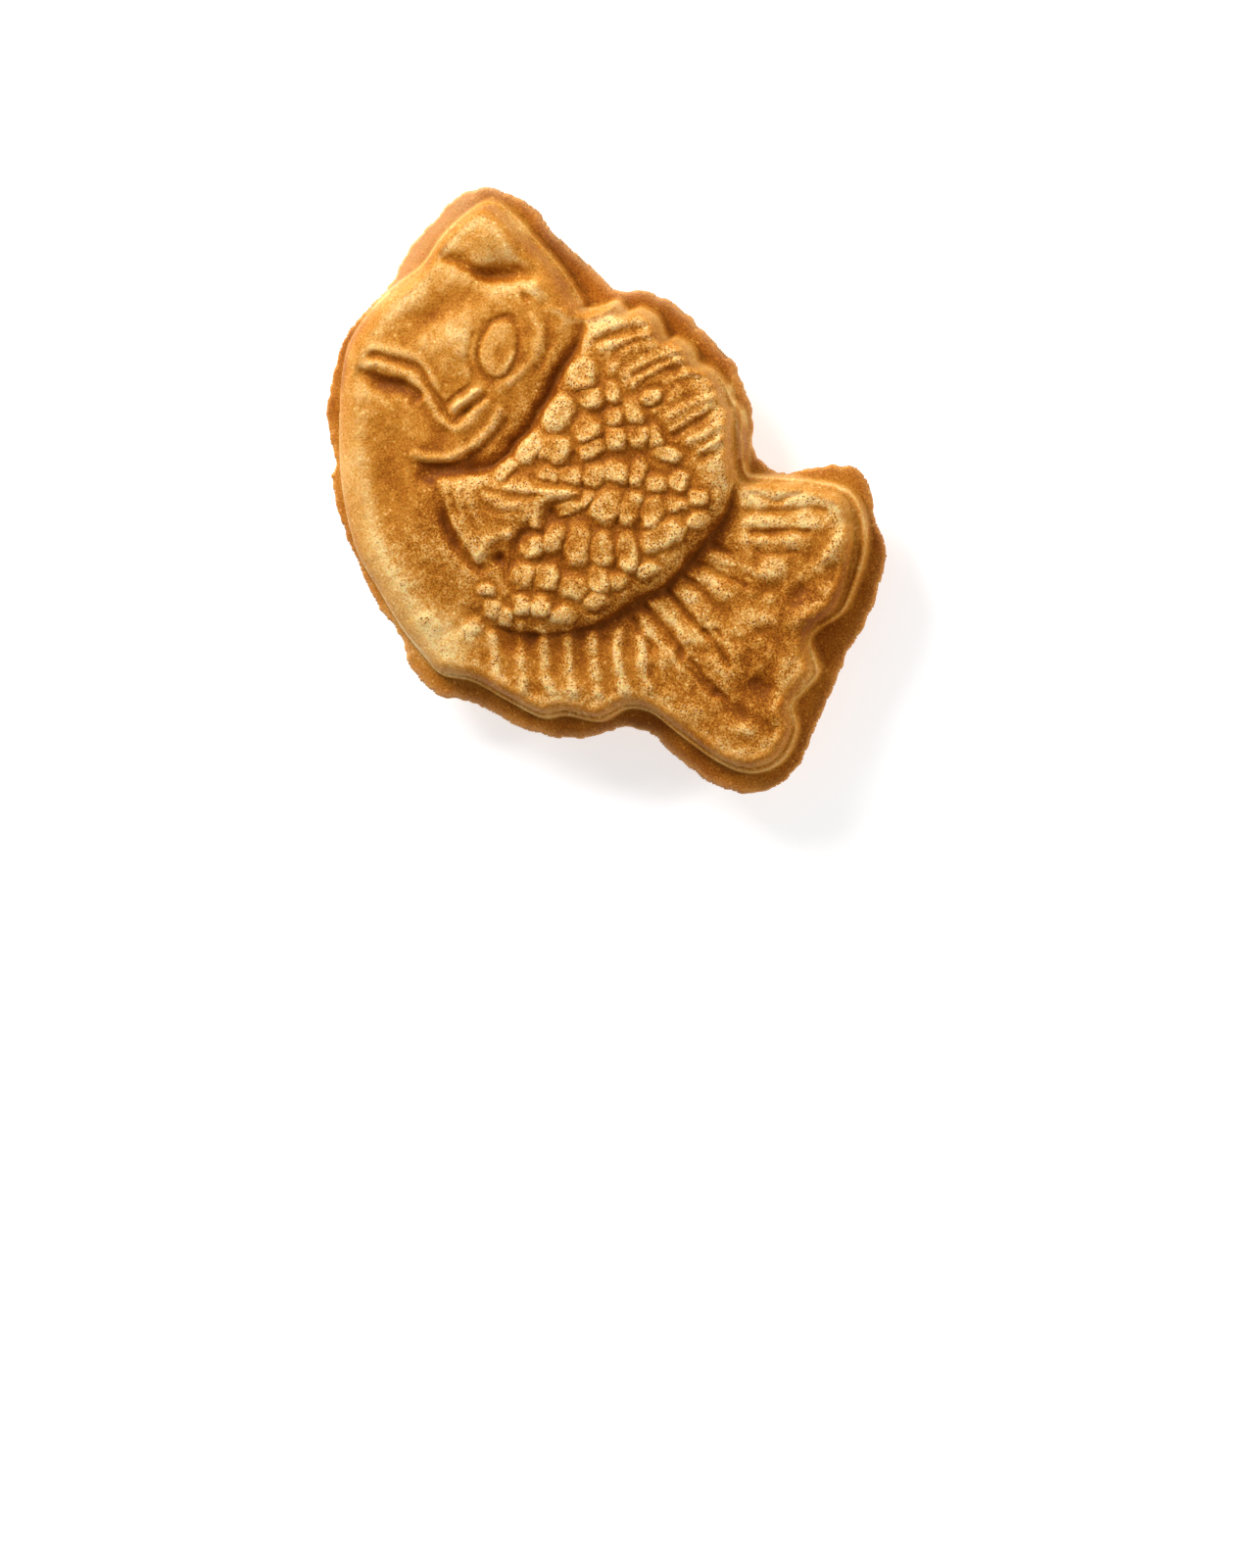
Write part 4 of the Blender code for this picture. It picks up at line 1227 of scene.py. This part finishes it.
    def paint(self, mesh: bpy.types.Mesh) -> None:
        """Store how brown the crust is with its painted light and shade, and how porous, coarse and thin it
        is at each point.

        Args:
            mesh: The finished mesh.
        """
        places = np.empty(3 * len(mesh.vertices))
        mesh.vertices.foreach_get("co", places)
        x, y, _ = places.reshape(-1, 3).T
        plan = self.lie.plan_of(x, y)
        to_ledge = self.ledge.depth(plan)
        ledge_width, shoulder_width = self.face.outlines.widths(self.ledge.nearest(plan)[1], self.ledge)
        to_face = to_ledge - ledge_width - shoulder_width
        points = Survey(plan, *self.hollows(plan), self.rim.depth(plan), to_ledge, to_face)
        marks = {
            "browning_and_painted_light": self.browning_and_painted_light.at(points),
            "pores": self.crumb.pores(points),
            "crumb": self.crumb.coarseness(points),
            "thin": self.thin.at(points),
        }
        for name, values in marks.items():
            mesh.attributes.new(name, "FLOAT", "POINT").data.foreach_set("value", values.astype(np.float32))

    def build(self, finish: "BakedCrust") -> bpy.types.Object:
        """Make the crust and dress it.

        Args:
            finish: What it is made of.

        Returns:
            The finished object.
        """
        crust = bpy.data.objects.new("crust", self.closed_mesh())
        bpy.context.scene.collection.objects.link(crust)
        log.info("crust: %d triangles before thinning", len(crust.data.polygons))
        self.thin_back(crust)
        self.paint(crust.data)
        crust.data.shade_smooth()
        crust.data.materials.clear()
        crust.data.materials.append(finish.material())
        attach(crust, "root")
        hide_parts(NODE)
        log.info("crust: %d triangles", len(crust.data.polygons))
        return crust


def linear(red: float, green: float, blue: float) -> tuple[float, float, float, float]:
    """Turn a colour as a screen shows it into one as Blender keeps it.

    Args:
        red: How red it shows, in steps of 255.
        green: How green.
        blue: How blue.

    Returns:
        The solid colour.
    """

    def light(value: float) -> float:
        """One channel's share of light."""
        share = value / 255
        return share / 12.92 if share <= 0.04045 else ((share + 0.055) / 1.055) ** 2.4

    return (light(red), light(green), light(blue), 1.0)


class NodeBench:
    """A material's node tree, with a short way to add to it.

    Args:
        name: The material's name.
    """

    def __init__(self, name: str) -> None:
        """Make the material and find its shader."""
        self.material = bpy.data.materials.new(name)
        self.material.use_nodes = True
        self.tree = self.material.node_tree
        self.shader = self.tree.nodes["Principled BSDF"]

    def add(self, kind: str, settings: dict | None = None, **inputs: Feed) -> bpy.types.Node:
        """Add a node.

        Args:
            kind: Its type, without the leading ShaderNode.
            settings: Its properties.
            inputs: Values or sockets for its inputs, by name, with underscores for spaces.

        Returns:
            The node.
        """
        node = self.tree.nodes.new("ShaderNode" + kind)
        for key, value in (settings or {}).items():
            setattr(node, key, value)
        self.feed_all(node, inputs)
        return node

    def feed_all(self, node: bpy.types.Node, inputs: dict) -> None:
        """Give a node's inputs their values or sockets, by name, with underscores for spaces."""
        for key, value in inputs.items():
            self.feed(node.inputs[key.replace("_", " ")], value)

    def feed(self, socket: Socket, value: Feed) -> None:
        """Give a socket a value, or link it to another.

        Args:
            socket: The socket.
            value: The value, or the other socket.
        """
        if isinstance(value, Socket):
            self.tree.links.new(value, socket)
        else:
            socket.default_value = value

    def math(self, operation: str, first: Feed, second: Feed = 0.0) -> Socket:
        """Add a sum.

        Args:
            operation: What it does, by its name in Blender.
            first: What it starts from.
            second: What it does that with.

        Returns:
            The result.
        """
        node = self.tree.nodes.new("ShaderNodeMath")
        node.operation = operation
        self.feed(node.inputs[0], first)
        self.feed(node.inputs[1], second)
        return node.outputs[0]

    def line(self, value: Socket, slope: float, start: float) -> Socket:
        """Add a value that grows with another from a start."""
        return self.math("ADD", self.math("MULTIPLY", value, slope), start)

    def sway(self, noise: Socket, share: Feed) -> Socket:
        """Add a share of how far a noise is from its middle."""
        return self.math("MULTIPLY", self.math("SUBTRACT", noise, 0.5), share)

    def change(self, value: Socket, ends: tuple, first: float, last: float, kind: str = "LINEAR") -> Socket:
        """Add a change from one value to another while a third goes between two ends.

        Args:
            value: The third.
            ends: Where it starts and ends.
            first: The changing value at the start.
            last: The changing value at the end.
            kind: How it goes between them, by its name in Blender.

        Returns:
            The changing value.
        """
        ends = {"From_Min": ends[0], "From_Max": ends[1]}
        return self.add(
            "MapRange", {"interpolation_type": kind}, Value=value, To_Min=first, To_Max=last, **ends
        ).outputs[0]

    def blend(self, share: Feed, first: Feed, second: Feed) -> Socket:
        """Add a blend of two colours.

        Args:
            share: The second colour's share.
            first: The first colour.
            second: The second colour.

        Returns:
            The blended colour.
        """
        node = self.add("Mix", {"data_type": "RGBA"}, Factor=share)
        # Its sockets for colours come after those for numbers and vectors, which have the same names
        for index, value in ((6, first), (7, second)):
            self.feed(node.inputs[index], value)
        return node.outputs[2]

    def noise(self, place: Socket, size: float, detail: float, roughness: float) -> Socket:
        """Add a soft noise of a size in metres."""
        node = self.add("TexNoise", Vector=place, Scale=1 / size, Detail=detail, Roughness=roughness)
        return node.outputs["Fac"]

    def bubbles(self, place: Socket, spacing: float) -> Socket:
        """Add how far each place is from the nearest of many scattered points."""
        return self.add("TexVoronoi", {"feature": "F1"}, Vector=place, Scale=1 / spacing).outputs["Distance"]

    def attribute(self, name: str) -> Socket:
        """Read a value that the mesh stores."""
        return self.add("Attribute", {"attribute_name": name}).outputs["Fac"]


@dataclass(frozen=True)
class BakedCrust:
    """Golden batter baked against iron: smooth and satin, open-pored on the crests, brown in the creases,
    partly as painted shade.
    """

    name: str = "baked_crust"
    stops: tuple = (
        (0.0, (255, 219, 150)),
        (0.25, (233, 177, 98)),
        (0.5, (205, 134, 42)),
        (0.75, (166, 92, 14)),
        (1.0, (122, 56, 2)),
    )
    pore_colour: tuple[float, float, float] = (149, 71, 10)
    thin_colour: tuple[float, float, float] = (226, 178, 122)
    thin_share: float = 1.5
    thin_grain: float = 1.4
    cloud_size: float = 5 * MM
    cloud_detail: float = 3.0
    cloud_roughness: float = 0.6
    cloud_tone: float = 0.35
    patch_size: float = 1.2 * MM
    patch_detail: float = 1.0
    patch_roughness: float = 0.5
    patch_tone: float = 0.15
    patch_tone_in_crumb: float = 0.3
    grain_size: float = 0.35 * MM
    grain_detail: float = 3.0
    grain_roughness: float = 0.7
    grain_tone: float = 1.0
    grain_tone_in_crumb: float = 1.0
    grain_height: float = 0.15 * MM
    pore_size: float = 0.55 * MM
    pore_edge: tuple[float, float] = (0.12, 0.34)
    pore_patches: tuple[float, float] = (0.3, 0.46)
    pore_depth: float = 1.6
    # Pale specks lighten the tone as painted glints of light
    glint_spacing: float = 1.5 * MM
    glint_edge: tuple[float, float] = (0.1, 0.24)
    glint_tone: float = 0.22
    roughness: float = 0.5
    sheen: float = 0.25
    sheen_colour: tuple[float, float, float] = (255, 225, 160)
    soft_light: float = 0.5
    soft_light_reach: tuple[float, float, float] = (1.0, 0.42, 0.12)
    soft_light_depth: float = 1.3 * MM

    def material(self) -> bpy.types.Material:
        """Build the crust's material.

        Returns:
            The material.
        """
        bench = NodeBench(self.name)
        place = bench.add("TexCoord").outputs["Object"]
        grain = bench.noise(place, self.grain_size, self.grain_detail, self.grain_roughness)
        patches = bench.noise(place, self.patch_size, self.patch_detail, self.patch_roughness)
        band = bench.add("ValToRGB", Fac=self.tone(bench, place, grain, patches))
        self.fill(band.color_ramp)
        grainy_share = bench.line(grain, -self.thin_grain, self.thin_share)
        thin = bench.math("MULTIPLY", bench.attribute("thin"), grainy_share)
        baked = bench.blend(thin, band.outputs["Color"], linear(*self.thin_colour))
        pores = self.pores(bench, place, patches)
        height = bench.math("SUBTRACT", grain, bench.math("MULTIPLY", pores, self.pore_depth))
        bump = bench.add("Bump", Height=height, Strength=1.0, Distance=self.grain_height)
        bench.feed_all(bench.shader, {
            "Base Color": bench.blend(pores, baked, linear(*self.pore_colour)),
            "Normal": bump.outputs["Normal"],
            "Roughness": self.roughness,
            "Specular IOR Level": self.sheen,
            "Specular Tint": linear(*self.sheen_colour),
            "Subsurface Weight": self.soft_light,
            "Subsurface Radius": self.soft_light_reach,
            "Subsurface Scale": self.soft_light_depth,
        })
        return bench.material

    def tone(self, bench: NodeBench, place: Socket, grain: Socket, patches: Socket) -> Socket:
        """Vary the stored browning and painted light by clouds, patches, grain and painted glints.

        Args:
            bench: The material's bench.
            place: Where each point is.
            grain: The grain's noise.
            patches: The patches' noise.

        Returns:
            The tone of each point.
        """
        clouds = bench.noise(place, self.cloud_size, self.cloud_detail, self.cloud_roughness)
        crumb = bench.attribute("crumb")
        tone = bench.attribute("browning_and_painted_light")
        for noise, share in (
            (clouds, self.cloud_tone),
            (grain, bench.line(crumb, self.grain_tone_in_crumb, self.grain_tone)),
            (patches, bench.line(crumb, self.patch_tone_in_crumb, self.patch_tone)),
        ):
            tone = bench.math("ADD", tone, bench.sway(noise, share))
        # Painted glints: pale specks scattered over the crust
        painted_glints = bench.change(bench.bubbles(place, self.glint_spacing), self.glint_edge, self.glint_tone, 0.0)
        return bench.math("SUBTRACT", tone, painted_glints)

    def pores(self, bench: NodeBench, place: Socket, patches: Socket) -> Socket:
        """Open small pores on the crests, in some patches and not in others.

        Args:
            bench: The material's bench.
            place: Where each point is.
            patches: The patches' noise.

        Returns:
            How open the crust is at each point.
        """
        pore = bench.change(bench.bubbles(place, self.pore_size), self.pore_edge, 1.0, 0.0, "SMOOTHSTEP")
        where = bench.change(patches, self.pore_patches, 0.0, 1.0)
        return bench.math("MULTIPLY", bench.attribute("pores"), bench.math("MULTIPLY", pore, where))

    def fill(self, band: bpy.types.ColorRamp) -> None:
        """Set the colours from pale batter to the darkest crease.

        Args:
            band: The colour band.
        """
        band.elements.remove(band.elements[1])
        for index, (place, colour) in enumerate(self.stops):
            stop = band.elements[0] if index == 0 else band.elements.new(place)
            stop.position = place
            stop.color = linear(*colour)


@dataclass(frozen=True)
class Lamp:
    """A square soft light: the way to it in the picture, and its elevation in degrees, side and power."""

    name: str
    seen_from: tuple[float, float]
    elevation: float
    size: float
    power: float
    distance: float = 0.6

    def hang(self, lie: Lie) -> None:
        """Hang the light so that it looks at the middle of the cake.

        Args:
            lie: How the plan lies in the frame.
        """
        data = bpy.data.lights.new(self.name, "AREA")
        data.size = self.size
        data.energy = self.power
        lamp = bpy.data.objects.new(self.name, data)
        x, y = lie.turned(*self.seen_from)
        rise = math.radians(self.elevation)
        way = Vector((x, y, 0)).normalized() * math.cos(rise) + Vector((0, 0, math.sin(rise)))
        lamp.location = way * self.distance
        lamp.rotation_mode = "QUATERNION"
        lamp.rotation_quaternion = way.to_track_quat("Z", "Y")
        bpy.context.scene.collection.objects.link(lamp)


@dataclass(frozen=True)
class Studio:
    """A pale floor, a soft key light from the picture's upper left, a small rim light and fill."""

    floor_size: float = 3.0
    floor_colour: tuple[float, float, float] = (215, 215, 215)
    floor_glow: float = 0.6
    floor_roughness: float = 0.9
    fill_light: float = 0.3
    lamps: tuple[Lamp, ...] = (
        Lamp("key", (-0.58, -0.81), 33.0, 0.28, 4.4),
        Lamp("rim", (1.0, -0.1), 30.0, 0.1, 1.0),
    )

    def floor(self) -> None:
        """Lay the floor."""
        mesh = bmesh.new()
        bmesh.ops.create_grid(mesh, x_segments=1, y_segments=1, size=self.floor_size / 2)
        made = bpy.data.meshes.new("floor")
        mesh.to_mesh(made)
        mesh.free()
        floor = bpy.data.objects.new("floor", made)
        bpy.context.scene.collection.objects.link(floor)
        bench = NodeBench("floor_paper")
        bench.feed_all(bench.shader, {
            "Base Color": linear(*self.floor_colour),
            "Emission Color": WHITE,
            "Emission Strength": self.floor_glow,
            "Roughness": self.floor_roughness,
        })
        made.materials.append(bench.material)

    def build(self, lie: Lie) -> None:
        """Set up the floor, the lights and the colour rendering.

        Args:
            lie: How the plan lies in the frame.
        """
        self.floor()
        for lamp in self.lamps:
            lamp.hang(lie)
            log.info("%s light: %.1f W", lamp.name, lamp.power)
        world = bpy.data.worlds.new("studio")
        bpy.context.scene.world = world
        world.use_nodes = True
        background = world.node_tree.nodes["Background"]
        background.inputs["Color"].default_value = WHITE
        background.inputs["Strength"].default_value = self.fill_light
        bpy.context.scene.view_settings.view_transform = "Standard"


@dataclass(frozen=True)
class Camera:
    """The camera, which sees what was drawn from where it was drawn."""

    sensor_width: float = 36.0
    clip: tuple[float, float] = (0.01, 10.0)

    def build(self, lie: Lie) -> None:
        """Put the camera at the drawing's eye, looking its way.

        Args:
            lie: How the plan lies in the frame.
        """
        data = bpy.data.cameras.new("camera")
        data.sensor_width = self.sensor_width
        data.lens = self.sensor_width * SIGHT.reach() / SIGHT.picture_height
        data.clip_start, data.clip_end = self.clip
        camera = bpy.data.objects.new("camera", data)
        bpy.context.scene.collection.objects.link(camera)
        ahead, right, down = (Vector((*lie.turned(*way[:2]), way[2])) for way in SIGHT.axes())
        turn = Matrix((right, -down, -ahead)).transposed()
        eye = lie.place(np.array([SIGHT.eye[:2]]), np.array([SIGHT.eye[2] / UNITS_PER_MM]))[0]
        camera.matrix_world = Matrix.Translation(Vector(eye)) @ turn.to_4x4()
        bpy.context.scene.camera = camera


def main() -> None:
    """Make the cake, light it and look at it."""
    logging.basicConfig(level=logging.INFO, format="%(name)s: %(message)s")
    cake = Cake()
    cake.build(BakedCrust())
    Studio().build(cake.lie)
    Camera().build(cake.lie)


if __name__ == "__main__":
    main()
